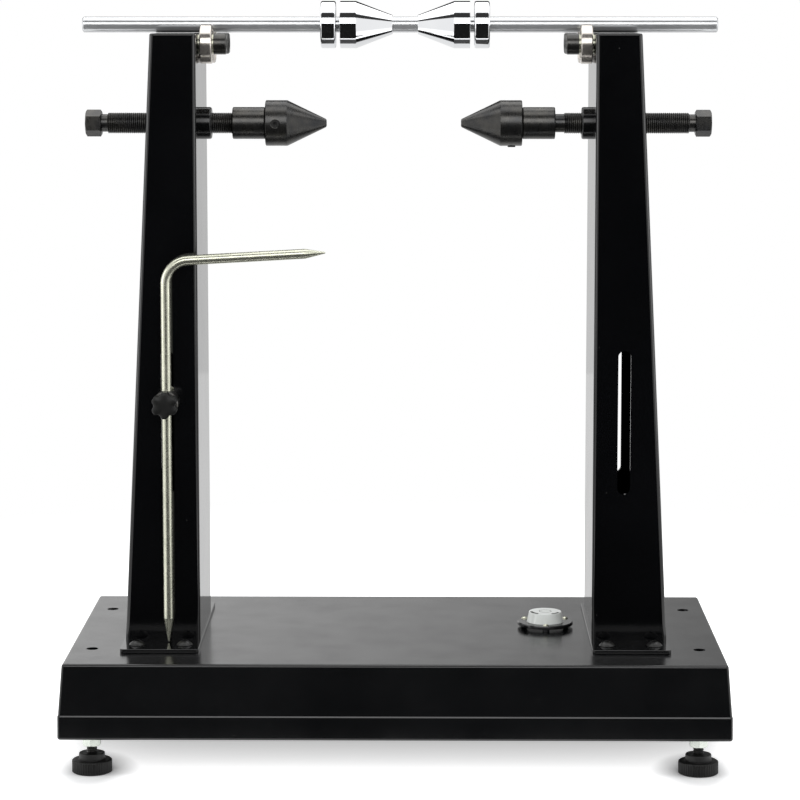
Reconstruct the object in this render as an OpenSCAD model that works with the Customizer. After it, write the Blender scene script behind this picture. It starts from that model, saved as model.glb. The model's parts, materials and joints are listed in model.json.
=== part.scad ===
// Wheel truing and balancing stand: a folded steel base on four levelling feet carries two posts.
// Truing spindles with cones face each other, a balance shaft lies in four bearings above them,
// and a bent pointer rod is clamped to the left post. Millimetres, +Z up, front towards -Y,
// origin on the floor under the middle of the stand.

/* [Base] */
// Width of the flat top of the base
base_w = 496; // [460:1:560]
// Depth of the flat top of the base
base_d = 250; // [230:1:320]
// Height of the folded base
base_h = 57; // [45:1:80]
// How far each skirt leans out between the top and the fold
base_flare = 3.5; // [2:0.5:10]
// Height of the upright lip below the fold
base_lip = 18; // [12:1:30]
// Sheet thickness of the base
base_t = 2.5; // [1.5:0.1:4]
// Outer radius of the bend along the top edge
base_bend = 3; // [1:0.5:6]
// Width of the flange folded inwards at the bottom
base_flange = 28; // [25:1:40]
// Diameter of the four bench holes
bench_hole_d = 9; // [5:0.5:12]
// Bench hole to the side edge of the top
bench_hole_side = 17; // [10:0.5:24]
// Bench hole to the front or rear edge of the top
bench_hole_front = 53; // [30:1:80]

/* [Feet] */
// Clear height under the base
foot_gap = 27; // [25:0.5:40]
// Foot axis to the outside of the side lip
foot_side = 24.5; // [16:0.5:30]
// Foot axis to the outside of the front or rear lip
foot_front = 12.5; // [11:0.5:17]
// Thread diameter of the foot studs
foot_thread_d = 8; // [6:1:10]
// Thread pitch of the foot studs
foot_pitch = 1.25; // [1:0.25:1.5]
// Length of a foot stud
foot_stud_len = 46; // [38:1:52]
// Diameter of a foot pad
pad_d = 30; // [22:1:40]
// Height of the wide part of a pad
pad_h = 10; // [6:0.5:11]
// Diameter of the collar on top of a pad
pad_collar_d = 19.5; // [14:0.5:22]
// Height of the collar on top of a pad
pad_collar_h = 5; // [2:0.5:6]
// Edge break on a pad
pad_chamfer = 0.8; // [0.3:0.1:2]
// Material left under the stud in a pad
pad_floor = 4; // [2:0.5:6]
// Width across flats of the foot nuts
foot_nut_af = 13; // [12:0.5:14]
// Height of the foot nuts
foot_nut_h = 6.5; // [4:0.5:8]

/* [Posts] */
// Clear width between the posts
post_gap = 300; // [280:1:330]
// Depth of a post, front to rear
post_d = 110; // [90:1:130]
// Height of a post
post_h = 462; // [420:1:520]
// Width of a post at its top
post_top_w = 34.5; // [30:0.5:42]
// Width of a post at its foot
post_foot_w = 57.5; // [48:0.5:64]
// Sheet thickness of the posts
post_t = 2.5; // [1.5:0.1:3]
// Outer radius of the upright bends
post_bend = 4; // [2:0.5:6]
// Width of the pointer slot
slot_w = 9.7; // [9:0.1:14]
// Length of the pointer slot, end to end
slot_len = 110; // [80:1:140]
// Slot centre line to the inner face of the post
slot_in = 23.4; // [20:0.1:26]
// Lower end of the slot above the foot of the post
slot_up = 113.7; // [90:0.1:140]

/* [Foot plates] */
// Thickness of the plate under a post
plate_t = 3; // [2:0.5:6]
// Depth of the plate, front to rear
plate_d = 175; // [160:1:200]
// How far the plate shows beyond the post's sides
plate_rim = 1; // [0.5:0.5:4]
// Shank diameter of the post bolts
bolt_d = 6; // [5:0.5:8]
// Head diameter of the post bolts
bolt_head_d = 12.4; // [9:0.1:14]
// Head height of the post bolts
bolt_head_h = 3.6; // [2.5:0.1:5]
// Width across flats of a post bolt's key socket
bolt_key = 4; // [2.5:0.5:5]
// Distance between the two bolts of a tab
bolt_pitch = 36; // [30:0.5:42]
// Bolt centre to the front or rear edge of the plate
bolt_edge = 16.5; // [10:0.5:20]
// Width across flats of the post nuts
bolt_nut_af = 10; // [9:0.5:13]
// Height of the post nuts
bolt_nut_h = 5; // [3:0.5:6]

/* [Bearings] */
// Outside diameter of a bearing
bearing_od = 30; // [26:0.5:34]
// Bore of a bearing
bearing_bore_d = 10; // [8:0.5:12]
// Width of a bearing
bearing_w = 9; // [7:0.5:11]
// Gap between the two bearings of a cradle
bearing_space = 0.8; // [0.5:0.1:3]
// Wall of the inner ring
inner_wall = 2.8; // [2:0.1:3.2]
// Wall of the outer ring
outer_wall = 2.8; // [2:0.1:3.2]
// Number of balls
ball_count = 8; // [6:1:9]
// Depth of the shields below the bearing's faces
shield_in = 0.5; // [0.3:0.1:1]
// Thickness of a shield
shield_t = 0.5; // [0.3:0.1:0.8]
// Thickness of the spacer between bearing and post
spacer_t = 1; // [0.8:0.1:3]
// Thickness of the washer under the screw head
washer_t = 1; // [0.5:0.1:2]
// Outside diameter of spacer and washer
washer_d = 15; // [13:0.5:16]
// Head diameter of a bearing screw
cap_head_d = 16; // [14:0.5:18]
// Head height of a bearing screw
cap_head_h = 10; // [6:0.5:12]
// Width across flats of a bearing screw's key socket
cap_key = 8; // [5:0.5:9]
// Thread diameter of a bearing screw below its shoulder's
cap_step = 2; // [1:0.5:3]
// Edge break on the bearings' outer rings
ring_chamfer = 0.7; // [0.3:0.1:1.2]
// Edge break on the bearings' inner rings
inner_chamfer = 0.2; // [0.1:0.1:0.5]
// Thickness of the tapped strip inside a post
strip_t = 10; // [6:0.5:12]
// Height of the tapped strip
strip_h = 16; // [14:0.5:24]
// Length of the tapped strip
strip_len = 52; // [48:1:70]

/* [Balance shaft] */
// Diameter of the balance shaft
shaft_d = 12; // [8:0.5:16]
// Length of the balance shaft
shaft_len = 486; // [400:1:520]
// Middle of the shaft to the right of the stand's middle
shaft_shift = 2.5; // [-10:0.5:10]
// Height of the shaft's underside above the posts
shaft_clear = 0.6; // [0.4:0.1:4]
// Chamfer on the shaft's ends
shaft_chamfer = 1; // [0.5:0.1:2]
// Large diameter of the balance cones and their collars
cone_d = 36; // [30:0.5:40]
// Wall of the balance cones at their nose
cone_nose_wall = 1.2; // [0.6:0.1:3]
// Length of a balance cone's straight part
cone_rim = 12.2; // [6:0.1:20]
// Length of a balance cone's taper
cone_taper = 27.8; // [15:0.1:40]
// Bare shaft between the noses of the balance cones
cone_apart = 19.3; // [14:0.1:30]
// Middle of the cone pair to the right of the stand's middle
cone_shift = 6.6; // [-10:0.1:10]
// Width of a lock collar
collar_w = 11.8; // [8:0.1:16]
// Gap between a cone and its lock collar
collar_gap = 3.2; // [0.5:0.1:5]
// Rounding of the collar's edges
collar_round = 1.5; // [0.5:0.1:3]
// Thread diameter of the collar screws
collar_screw_d = 6; // [4:0.5:7]
// How far the collar screws sit below the collar's surface
collar_screw_in = 0.8; // [0.2:0.1:3]

/* [Truing spindles] */
// Spindle axis below the top of the posts
spindle_drop = 68.6; // [60:0.1:90]
// Thread diameter of the spindles
spindle_d = 16; // [15.5:0.5:18]
// Thread pitch of the spindles
spindle_pitch = 1.5; // [1:0.25:2.5]
// Length of the threaded part
spindle_thread = 95.4; // [80:0.1:110]
// Width across flats of the hexagon head
spindle_af = 18; // [16:0.5:22]
// Length of the hexagon head
spindle_head = 12.3; // [8:0.1:16]
// Diameter of the relief behind the head
spindle_neck_d = 13.5; // [12:0.1:14]
// Length of the relief behind the head
spindle_neck = 5; // [2:0.1:8]
// Diameter of the plain journal
journal_d = 14; // [12:0.1:14.2]
// Length of the journal inside the truing cone
journal_nose = 28; // [24:0.5:32]
// Diameter of the groove that holds the cone
journal_groove_d = 9; // [8:0.5:10]
// End of the left thread to the inner face of its post
left_reach = 23.8; // [15:0.1:40]
// End of the right thread to the inner face of its post
right_reach = 21.1; // [15:0.1:40]
// Left sleeve to the end of its thread
left_float = 0.3; // [0.3:0.1:7]
// Right sleeve to the end of its thread
right_float = 7.2; // [0.3:0.1:7.5]
// Outside diameter of the sleeves
sleeve_d = 24.5; // [20:0.5:28]
// Length of a sleeve
sleeve_len = 25; // [15:0.5:30]
// Large diameter of the truing cones
truing_d = 35; // [30:0.5:40]
// Diameter of the blunt tip
truing_tip_d = 6; // [3:0.5:9]
// Length of a truing cone's straight part
truing_rim = 16.7; // [14:0.1:20]
// Length of a truing cone's taper
truing_taper = 30.2; // [26:0.1:40]
// Depth of the bore in a truing cone
truing_bore = 30; // [29:0.5:34]
// Thread diameter of the truing cone screws
grip_screw_d = 6; // [4:0.5:6]
// Screw centre to the back of the truing cone
grip_screw_in = 8; // [6:0.5:9]
// How far the left cone's screw sits below its surface
left_screw_in = 0.6; // [0:0.1:3]
// How far the right cone's screw stands out
right_screw_out = 0.8; // [0:0.1:1.5]
// Edge break on the sleeves, the truing cones and the journal's end
spindle_chamfer = 0.9; // [0.3:0.1:1.5]
// Diameter of the threaded bushes on the posts
bush_d = 24.6; // [20:0.1:30]
// Length of the bushes on the posts
bush_len = 8; // [5:0.5:10]
// Rounding of the bushes' free edge
bush_round = 1.5; // [0.5:0.1:3]

/* [Pointer] */
// Diameter of the pointer rod
rod_d = 7.5; // [6:0.1:8.5]
// Bend radius of the rod's centre line
rod_bend = 18; // [12:0.5:30]
// Straight rod above the clamp, up to the bend
rod_up = 90; // [60:1:120]
// Length of the straight arm, point included
arm_len = 103.7; // [60:0.1:120]
// Rise of the arm above level, in degrees
arm_rise = 3.2; // [0:0.1:8]
// Length of the arm's point
arm_point = 15.4; // [8:0.1:25]
// Length of the lower point
foot_point = 18; // [8:0.1:25]
// Diameter of the blunt end of both points
point_d = 1.2; // [0.6:0.1:2]
// Lower point above the foot plate
point_clear = 0.8; // [0.5:0.1:5]
// Clamp above the lower end of the slot
clamp_up = 71.3; // [40:0.1:74]
// Diameter of the clamp body
clamp_d = 19; // [16:0.5:24]
// Length of the clamp body
clamp_len = 16; // [14:0.5:20]
// Rod axis to the clamp body's rear face
clamp_rod = 7; // [6:0.5:9]
// Edge break on the clamp body's front
clamp_chamfer = 1; // [0.5:0.1:2]
// Diameter of the clamp stud
clamp_stud_d = 8; // [6:0.5:8.5]
// Outside diameter of the washer behind the slot
clamp_washer_d = 22; // [18:0.5:24]
// Thickness of the washer behind the slot
clamp_washer_t = 2; // [1:0.5:3]
// Width across flats of the clamp nut
clamp_nut_af = 13; // [11:0.5:14]
// Height of the clamp nut
clamp_nut_h = 6.5; // [4:0.5:8]
// Diameter over the knob's lobes
knob_d = 20.5; // [18:0.5:28]
// Diameter of one lobe
knob_lobe_d = 6.4; // [5:0.1:8]
// Number of lobes
knob_lobes = 6; // [5:1:8]
// Depth of the knob
knob_h = 12; // [8:0.5:16]
// Diameter of the knob's screw
knob_screw_d = 5; // [4:0.5:6]

/* [Level] */
// Middle of the level to the right of the stand's middle
level_x = 117; // [40:1:122]
// Middle of the level behind the stand's middle
level_y = 9.5; // [-60:0.5:60]
// Diameter of the level's flange
level_d = 43.5; // [40:0.5:50]
// Thickness of the flange
level_t = 2.6; // [2:0.1:4]
// Height of the three feet under the flange
level_foot_h = 2; // [1:0.1:4]
// Diameter of the three feet
level_foot_d = 5.5; // [4:0.1:7]
// Pitch circle of the level's screws
level_pcd = 37; // [35:0.5:40]
// Diameter of the vial at the flange
vial_d = 29; // [26:0.5:30]
// Diameter of the vial at its top
vial_top_d = 25.6; // [22:0.1:26]
// Height of the vial above the flange
vial_h = 7.8; // [6:0.1:12]
// Wall of the vial
vial_t = 1.6; // [1:0.1:2.5]
// Diameter of the bubble
bubble_d = 9; // [5:0.5:12]
// Depth of the bubble
bubble_h = 2; // [1:0.1:3]
// Shank diameter of the level's screws
level_screw_d = 2.5; // [2:0.1:3]
// Head diameter of the level's screws
level_head_d = 5; // [4:0.1:6]
// Head height of the level's screws
level_head_h = 1.5; // [1:0.1:2.5]

/* [Fits] */
// Radial clearance of parts that turn or slide
run_fit = 0.05; // [0.03:0.01:0.1]
// Radial clearance round threads
thread_fit = 0.1; // [0.05:0.01:0.15]
// Radial clearance of bolt holes
hole_fit = 0.3; // [0.2:0.1:0.6]
// Space between the shaft and the bearings
cradle_fit = 0.15; // [0.1:0.05:0.3]
// Space between faces that move past each other
face_fit = 0.3; // [0.2:0.1:0.6]

/* [Hidden] */
$fn = 64;
cut = 1;

left = -1;
right = 1;
front = -1;
rear = 1;

gloss_black = "#1c1c1e";
oxide_black = "#2b2b2d";
plastic_black = "#19191a";
chrome = "#dadde0";
zinc = "#c6c8c6";
bearing_steel = "#b9bcbe";
clear_acrylic = "#e6eee8";
level_liquid = "#d9e6a8";

// Shares of the size they are multiplied by
head_root = 0.2;
head_slot = 0.12;
key_floor = 0.45;
grub_key = 0.5;
cap_edge = 0.06;
nut_face = 0.97;
ball_bite = 0.35;
knob_waist = 0.9;
knob_crown = 0.95;
knob_insert = 0.6;
rod_core = 0.9;

base_top = foot_gap + base_h;
plate_top = base_top + plate_t;
post_top = plate_top + post_h;
post_bend_min = 0.3;
tray_bend_min = 0.2;
plate_w = post_foot_w + 2 * plate_rim;
plate_mid = post_foot_w / 2;
lip_w = base_w + 2 * base_flare;
lip_d = base_d + 2 * base_flare;
skirt_angle = atan(base_flare / (base_h - base_lip));

bench_x = base_w / 2 - bench_hole_side;
bench_y = base_d / 2 - bench_hole_front;
foot_x = lip_w / 2 - foot_side;
foot_y = lip_d / 2 - foot_front;

shaft_z = post_top + shaft_clear + shaft_d / 2;
bearing_y = (bearing_od + bearing_space) / 2;
cradle_r = (bearing_od + shaft_d) / 2 + cradle_fit;
bearing_z = shaft_z - sqrt(cradle_r * cradle_r - bearing_y * bearing_y);
ring_gap = (bearing_od - bearing_bore_d) / 2 - inner_wall - outer_wall;
ball_pitch_d = bearing_bore_d + 2 * inner_wall + ring_gap;
ball_d = ring_gap + min(inner_wall, outer_wall) * ball_bite;
cap_thread_d = bearing_bore_d - cap_step;
shield_id = bearing_bore_d + 2 * inner_wall + 2 * face_fit;

spindle_z = post_top - spindle_drop;
spindle_len = spindle_head + spindle_neck + spindle_thread;
spindle_groove = 0.6;
foot_groove = 0.5;
float_max = 7.5;
bolt_past = 1.5;
stud_past = 2;
screw_in_front = -90;
screw_below = 180;
journal_len = sleeve_len + journal_nose;
truing_len = truing_rim + truing_taper;

slot_z = plate_top + slot_up;
slot_x = post_gap / 2 + slot_in;
clamp_z = slot_z + clamp_up;
clamp_y = -post_d / 2 - face_fit;
rod_y = clamp_y - clamp_rod;
clamp_stub = clamp_rod - rod_d / 2 - 2 * face_fit;
rod_low = clamp_z - plate_top - point_clear;
clamp_front = clamp_y - clamp_len;
knob_back = clamp_front - face_fit;

level_z = base_top + level_foot_h;
liquid_h = vial_h - vial_t;

// Moves children to one side's post: +X runs outwards from the post's inner face
module at_post(side) {
  mirror([side < 0 ? 1 : 0, 0, 0])
    translate([post_gap / 2, 0, 0])
      children();
}

// Turns children that stand on the XY plane so that they run along +X
module along_x() {
  rotate([0, 90, 0])
    children();
}

// Turns children that stand on the XY plane so that they run along -X
module against_x() {
  rotate([0, -90, 0])
    children();
}

// Turns children that stand on the XY plane so that they run towards the front
module to_front() {
  rotate([90, 0, 0])
    children();
}

// Hexagonal prism, corners along X
module hex_prism(across_flats, h) {
  cylinder(d = across_flats / cos(30), h = h, $fn = 6);
}

// Hexagon nut with a plain bore
module hex_nut(across_flats, h, bore) {
  difference() {
    intersection() {
      hex_prism(across_flats, h);
      rotate_extrude()
        polygon(nut_outline(across_flats, h));
    }
    translate([0, 0, -cut])
      cylinder(d = bore, h = h + 2 * cut);
  }
}

// Half outline that breaks the corners of a nut at 30 degrees
function nut_outline(across_flats, h) =
  let (corner = across_flats / cos(30) / 2, face = across_flats / 2 * nut_face)
  let (fall = (corner - face) * tan(30))
  [[0, 0], [face, 0], [corner, fall], [corner, h - fall], [face, h], [0, h]];

// Flat ring
module ring(outer_d, inner_d, h) {
  difference() {
    cylinder(d = outer_d, h = h);
    translate([0, 0, -cut])
      cylinder(d = inner_d, h = h + 2 * cut);
  }
}

// Half outline of a thread: crests at the full radius, one groove per pitch
function thread_outline(d, pitch, depth, start, len) =
  let (r = d / 2, turns = floor(len / pitch), crest = pitch / 12)
  [for (i = [0:turns - 1]) each [
    [r - depth, start + i * pitch],
    [r, start + (i + 0.5) * pitch - crest],
    [r, start + (i + 0.5) * pitch + crest]
  ], [r - depth, start + turns * pitch], [r - depth, start + len]];

// Outline of the tray across one direction, moved inwards by one sheet thickness where inset is set
function tray_outline(half, inset) =
  let (top = base_h - inset, a = skirt_angle)
  let (edge = half + inset * tan(a) - inset / cos(a), r = max(base_bend - inset, tray_bend_min))
  let (foot = half + base_flare - inset, fold = base_lip - inset * tan(a / 2))
  let (back = r * tan((90 - a) / 2))
  let (cx = edge - back, cz = top - r)
  let (bend = [for (i = [0:5]) let (b = a + i * (90 - a) / 5) [cx + r * cos(b), cz + r * sin(b)]])
  concat(
    [[-foot, 0], [foot, 0], [foot, fold]],
    bend,
    [for (i = [5:-1:0]) [-bend[i][0], bend[i][1]]],
    [[-foot, fold]]
  );

// Solid inside the tray's outer or inner surface
module tray_solid(inset) {
  intersection() {
    rotate([90, 0, 0])
      linear_extrude(lip_d + 2 * cut, center = true)
        polygon(tray_outline(base_w / 2, inset));
    rotate([90, 0, 90])
      linear_extrude(lip_w + 2 * cut, center = true)
        polygon(tray_outline(base_d / 2, inset));
  }
}

// Places children at the four feet
module at_feet() {
  for (x = [left, right], y = [front, rear])
    translate([x * foot_x, y * foot_y, 0])
      children();
}

// Places children at the eight post bolts
module at_bolts() {
  for (side = [left, right], y = [front, rear], x = [-1, 1])
    at_post(side)
      translate([plate_mid + x * bolt_pitch / 2, y * (plate_d / 2 - bolt_edge), 0])
        children();
}

// Places children at the level's three screws, one of them in front
module at_level_screws() {
  for (i = [0:2])
    translate([level_x, level_y, 0])
      rotate([0, 0, -90 + 120 * i])
        translate([level_pcd / 2, 0, 0])
          children();
}

module base_tray() {
  color(gloss_black)
    difference() {
      translate([0, 0, foot_gap])
        difference() {
          tray_solid(0);
          intersection() {
            tray_solid(base_t);
            translate([-lip_w, -lip_d, base_t])
              cube([2 * lip_w, 2 * lip_d, base_h]);
          }
          translate([base_flange - lip_w / 2, base_flange - lip_d / 2, -cut])
            cube([lip_w - 2 * base_flange, lip_d - 2 * base_flange, base_t + 2 * cut]);
        }
      for (x = [left, right], y = [front, rear])
        translate([x * bench_x, y * bench_y, base_top - base_t - cut])
          cylinder(d = bench_hole_d, h = base_t + 2 * cut);
      translate([0, 0, base_top - base_t - cut])
        at_bolts()
          cylinder(d = bolt_d + 2 * hole_fit, h = base_t + 2 * cut);
      translate([0, 0, base_top - base_t - cut])
        at_level_screws()
          cylinder(d = level_screw_d + 2 * run_fit, h = base_t + 2 * cut);
      translate([0, 0, foot_gap - cut])
        at_feet()
          cylinder(d = foot_thread_d + 2 * hole_fit, h = base_t + 2 * cut);
    }
}

// Plan of a post with its two inner corners rounded
module post_inner_plan(d, w, r) {
  translate([r, -d / 2])
    square([w - r, d]);
  translate([0, r - d / 2])
    square([w, d - 2 * r]);
  for (y = [front, rear])
    translate([r, y * (d / 2 - r)])
      circle(r);
}

// Solid inside a post's outer or inner surface, between two heights above the foot
module post_solid(inset, low, high) {
  lean = atan((post_foot_w - post_top_w) / post_h);
  r = max(post_bend - inset, post_bend_min);
  d = post_d - 2 * inset;
  intersection() {
    translate([inset, 0, low])
      linear_extrude(high - low)
        post_inner_plan(d, post_foot_w + cut, r);
    translate([post_foot_w - inset / cos(lean), 0, 0])
      rotate([0, -lean, 0])
        translate([0, 0, -post_foot_w])
          linear_extrude(post_h + 2 * post_foot_w)
            mirror([1, 0, 0])
              post_inner_plan(d, 2 * post_foot_w, r);
  }
}

// Slot with round ends through the front and rear walls
module post_slot() {
  to_front()
    linear_extrude(post_d + 2 * cut, center = true) {
      translate([slot_in - slot_w / 2, slot_up + slot_w / 2])
        square([slot_w, slot_len - slot_w]);
      for (z = [slot_w / 2, slot_len - slot_w / 2])
        translate([slot_in, slot_up + z])
          circle(d = slot_w);
    }
}

module post(side) {
  color(gloss_black)
    at_post(side)
      translate([0, 0, plate_top])
        difference() {
          post_solid(0, 0, post_h);
          post_solid(post_t, -cut, post_h - post_t);
          post_slot();
          translate([-cut, 0, spindle_z - plate_top])
            along_x()
              cylinder(d = spindle_d + 2 * hole_fit, h = post_foot_w + 2 * cut);
          for (y = [front, rear])
            translate([-cut, y * bearing_y, bearing_z - plate_top])
              along_x()
                cylinder(d = cap_thread_d + 2 * hole_fit, h = post_t + 2 * cut);
        }
}

module left_post() {
  post(left);
}

module right_post() {
  post(right);
}

module foot_plate(side) {
  color(gloss_black)
    difference() {
      at_post(side)
        translate([-plate_rim, -plate_d / 2, base_top])
          cube([plate_w, plate_d, plate_t]);
      translate([0, 0, base_top - cut])
        at_bolts()
          cylinder(d = bolt_d + 2 * hole_fit, h = plate_t + 2 * cut);
    }
}

module left_foot_plate() {
  foot_plate(left);
}

module right_foot_plate() {
  foot_plate(right);
}

// Dome of a button head: a slice of a ball
module button_dome(d, h) {
  ball_r = (d * d / 4 + h * h) / (2 * h);
  intersection() {
    translate([0, 0, h - ball_r])
      sphere(r = ball_r);
    cylinder(d = d, h = h);
  }
}

module post_bolts() {
  grip = plate_t + base_t + bolt_nut_h + bolt_past;
  color(oxide_black)
    translate([0, 0, plate_top])
      at_bolts() {
        difference() {
          button_dome(bolt_head_d, bolt_head_h);
          translate([0, 0, bolt_head_h * key_floor])
            hex_prism(bolt_key, bolt_head_h);
        }
        translate([0, 0, -grip])
          cylinder(d = bolt_d, h = grip + bolt_head_h * head_root);
      }
}

module post_nuts() {
  color(zinc)
    translate([0, 0, base_top - base_t - bolt_nut_h])
      at_bolts()
        hex_nut(bolt_nut_af, bolt_nut_h, bolt_d + 2 * thread_fit);
}

// Section of a threaded bush, its free edge rounded
module bush_section() {
  inner_r = spindle_d / 2 + thread_fit;
  outer_r = bush_d / 2;
  r = bush_round;
  translate([inner_r, 0])
    square([outer_r - r - inner_r, bush_len]);
  translate([inner_r, 0])
    square([outer_r - inner_r, bush_len - r]);
  translate([outer_r - r, bush_len - r])
    circle(r);
}

module spindle_bush(side) {
  color(gloss_black)
    at_post(side)
      translate([0, 0, spindle_z])
        against_x()
          rotate_extrude()
            bush_section();
}

module left_spindle_bush() {
  spindle_bush(left);
}

module right_spindle_bush() {
  spindle_bush(right);
}

// Places children on one bearing's axis, running from the post's inner face towards the wheel
module at_bearing(side, y) {
  at_post(side)
    translate([0, y * bearing_y, bearing_z])
      against_x()
        children();
}

// Places children on the axes of all four bearings
module at_bearings() {
  for (side = [left, right], y = [front, rear])
    at_bearing(side, y)
      children();
}

module bearing_spacers() {
  color(zinc)
    at_bearings()
      ring(washer_d, bearing_bore_d + 2 * run_fit, spacer_t);
}

module bearing_washers() {
  color(zinc)
    at_bearings()
      translate([0, 0, spacer_t + bearing_w])
        ring(washer_d, bearing_bore_d + 2 * run_fit, washer_t);
}

module bearing_screws() {
  seat = spacer_t + bearing_w + washer_t;
  tail = post_t + strip_t;
  color(oxide_black)
    at_bearings() {
      translate([0, 0, -tail])
        cylinder(d = cap_thread_d, h = tail + seat);
      cylinder(d = bearing_bore_d, h = seat + cap_head_h * head_root);
      translate([0, 0, seat])
        difference() {
          rotate_extrude()
            polygon(cap_outline());
          translate([0, 0, cap_head_h * key_floor])
            hex_prism(cap_key, cap_head_h);
        }
    }
}

// Half outline of a socket head with its outer edge broken
function cap_outline() =
  let (r = cap_head_d / 2, chamfer = cap_head_d * cap_edge)
  [[0, 0], [r, 0], [r, cap_head_h - chamfer], [r - chamfer, cap_head_h], [0, cap_head_h]];

module bearing_strips() {
  color(gloss_black)
    difference() {
      for (side = [left, right])
        at_post(side)
          translate([post_t, -strip_len / 2, post_top - post_t - strip_h])
            cube([strip_t, strip_len, strip_h]);
      at_bearings()
        translate([0, 0, -post_t - strip_t - cut])
          cylinder(d = cap_thread_d + 2 * thread_fit, h = strip_t + 2 * cut);
    }
}

// Section of a bearing ring between two radii, with its outer edges broken and the ball groove cut out
module ring_section(inner_r, outer_r, chamfer) {
  difference() {
    polygon([
      [inner_r, 0], [outer_r - chamfer, 0], [outer_r, chamfer], [outer_r, bearing_w - chamfer],
      [outer_r - chamfer, bearing_w], [inner_r, bearing_w]
    ]);
    translate([ball_pitch_d / 2, bearing_w / 2])
      circle(d = ball_d + 2 * face_fit);
  }
}

module bearing_inner_rings() {
  color(bearing_steel)
    at_bearings()
      translate([0, 0, spacer_t])
        rotate_extrude()
          ring_section(bearing_bore_d / 2 + run_fit, bearing_bore_d / 2 + inner_wall, inner_chamfer);
}

module bearing_balls() {
  color(bearing_steel)
    at_bearings()
      for (i = [0:ball_count - 1])
        rotate([0, 0, i * 360 / ball_count])
          translate([ball_pitch_d / 2, 0, spacer_t + bearing_w / 2])
            sphere(d = ball_d);
}

module outer_ring(side, y) {
  color(bearing_steel)
    at_bearing(side, y)
      translate([0, 0, spacer_t])
        rotate_extrude()
          ring_section(bearing_od / 2 - outer_wall, bearing_od / 2, ring_chamfer);
}

module left_front_outer_ring() {
  outer_ring(left, front);
}

module left_rear_outer_ring() {
  outer_ring(left, rear);
}

module right_front_outer_ring() {
  outer_ring(right, front);
}

module right_rear_outer_ring() {
  outer_ring(right, rear);
}

module shields(side, y) {
  color(bearing_steel)
    at_bearing(side, y)
      for (z = [shield_in, bearing_w - shield_in - shield_t])
        translate([0, 0, spacer_t + z])
          ring(bearing_od - 2 * outer_wall, shield_id, shield_t);
}

module left_front_shields() {
  shields(left, front);
}

module left_rear_shields() {
  shields(left, rear);
}

module right_front_shields() {
  shields(right, front);
}

module right_rear_shields() {
  shields(right, rear);
}

module balance_shaft() {
  r = shaft_d / 2;
  c = shaft_chamfer;
  color(chrome)
    translate([shaft_shift - shaft_len / 2, 0, shaft_z])
      along_x()
        rotate_extrude()
          polygon([[0, 0], [r - c, 0], [r, c], [r, shaft_len - c], [r - c, shaft_len], [0, shaft_len]]);
}

// Moves children to one balance cone's nose: +Z runs outwards along the shaft
module at_cone(side) {
  translate([cone_shift, 0, shaft_z])
    mirror([side < 0 ? 1 : 0, 0, 0])
      translate([cone_apart / 2, 0, 0])
        along_x()
          children();
}

module balance_cone(side) {
  bore_r = shaft_d / 2 + run_fit;
  nose_r = bore_r + cone_nose_wall;
  len = cone_taper + cone_rim;
  color(chrome)
    at_cone(side)
      rotate_extrude()
        polygon([[bore_r, 0], [nose_r, 0], [cone_d / 2, cone_taper], [cone_d / 2, len], [bore_r, len]]);
}

module left_balance_cone() {
  balance_cone(left);
}

module right_balance_cone() {
  balance_cone(right);
}

// Moves children to the inner face of one lock collar
module at_collar(side) {
  at_cone(side)
    translate([0, 0, cone_taper + cone_rim + collar_gap])
      children();
}

// Section of a lock collar with its two outer edges rounded
module collar_section() {
  inner_r = shaft_d / 2 + run_fit;
  outer_r = cone_d / 2;
  r = collar_round;
  translate([inner_r, 0])
    square([outer_r - r - inner_r, collar_w]);
  translate([inner_r, r])
    square([outer_r - inner_r, collar_w - 2 * r]);
  for (z = [r, collar_w - r])
    translate([outer_r - r, z])
      circle(r);
}

module lock_collar(side) {
  color(chrome)
    at_collar(side)
      difference() {
        rotate_extrude()
          collar_section();
        translate([0, 0, collar_w / 2])
          rotate([-90, 0, 0])
            cylinder(d = collar_screw_d + 2 * run_fit, h = cone_d);
      }
}

module left_lock_collar() {
  lock_collar(left);
}

module right_lock_collar() {
  lock_collar(right);
}

// Headless screw with a key socket, its tip at the origin and its socket up
module grub_screw(d, len) {
  difference() {
    cylinder(d = d, h = len);
    translate([0, 0, len - d * grub_key])
      hex_prism(d * grub_key, d);
  }
}

module collar_screw(side) {
  tip_r = shaft_d / 2 + run_fit;
  color(oxide_black)
    at_collar(side)
      translate([0, 0, collar_w / 2])
        rotate([-90, 0, 0])
          translate([0, 0, tip_r])
            grub_screw(collar_screw_d, cone_d / 2 - tip_r - collar_screw_in);
}

module left_collar_screw() {
  collar_screw(left);
}

module right_collar_screw() {
  collar_screw(right);
}

// Moves children to one spindle's thread end: +Z runs along the journal towards the wheel
module at_spindle(side, reach) {
  at_post(side)
    translate([-reach, 0, spindle_z])
      against_x()
        children();
}

// Half outline of a spindle behind its head: neck, thread, journal and groove
function spindle_outline() =
  let (j = journal_d / 2, g = journal_groove_d / 2, c = spindle_chamfer)
  let (groove = sleeve_len + grip_screw_in - grip_screw_d / 2 - face_fit)
  let (groove_end = sleeve_len + grip_screw_in + grip_screw_d / 2 + float_max + 2 * face_fit)
  concat(
    [[0, -spindle_len], [spindle_neck_d / 2, -spindle_len]],
    [[spindle_neck_d / 2, -spindle_thread]],
    thread_outline(spindle_d, spindle_pitch, spindle_groove, -spindle_thread, spindle_thread),
    [[j, 0], [j, groove], [g, groove], [g, groove_end], [j, groove_end]],
    [[j, journal_len - c], [j - c, journal_len], [0, journal_len]]
  );

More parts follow.
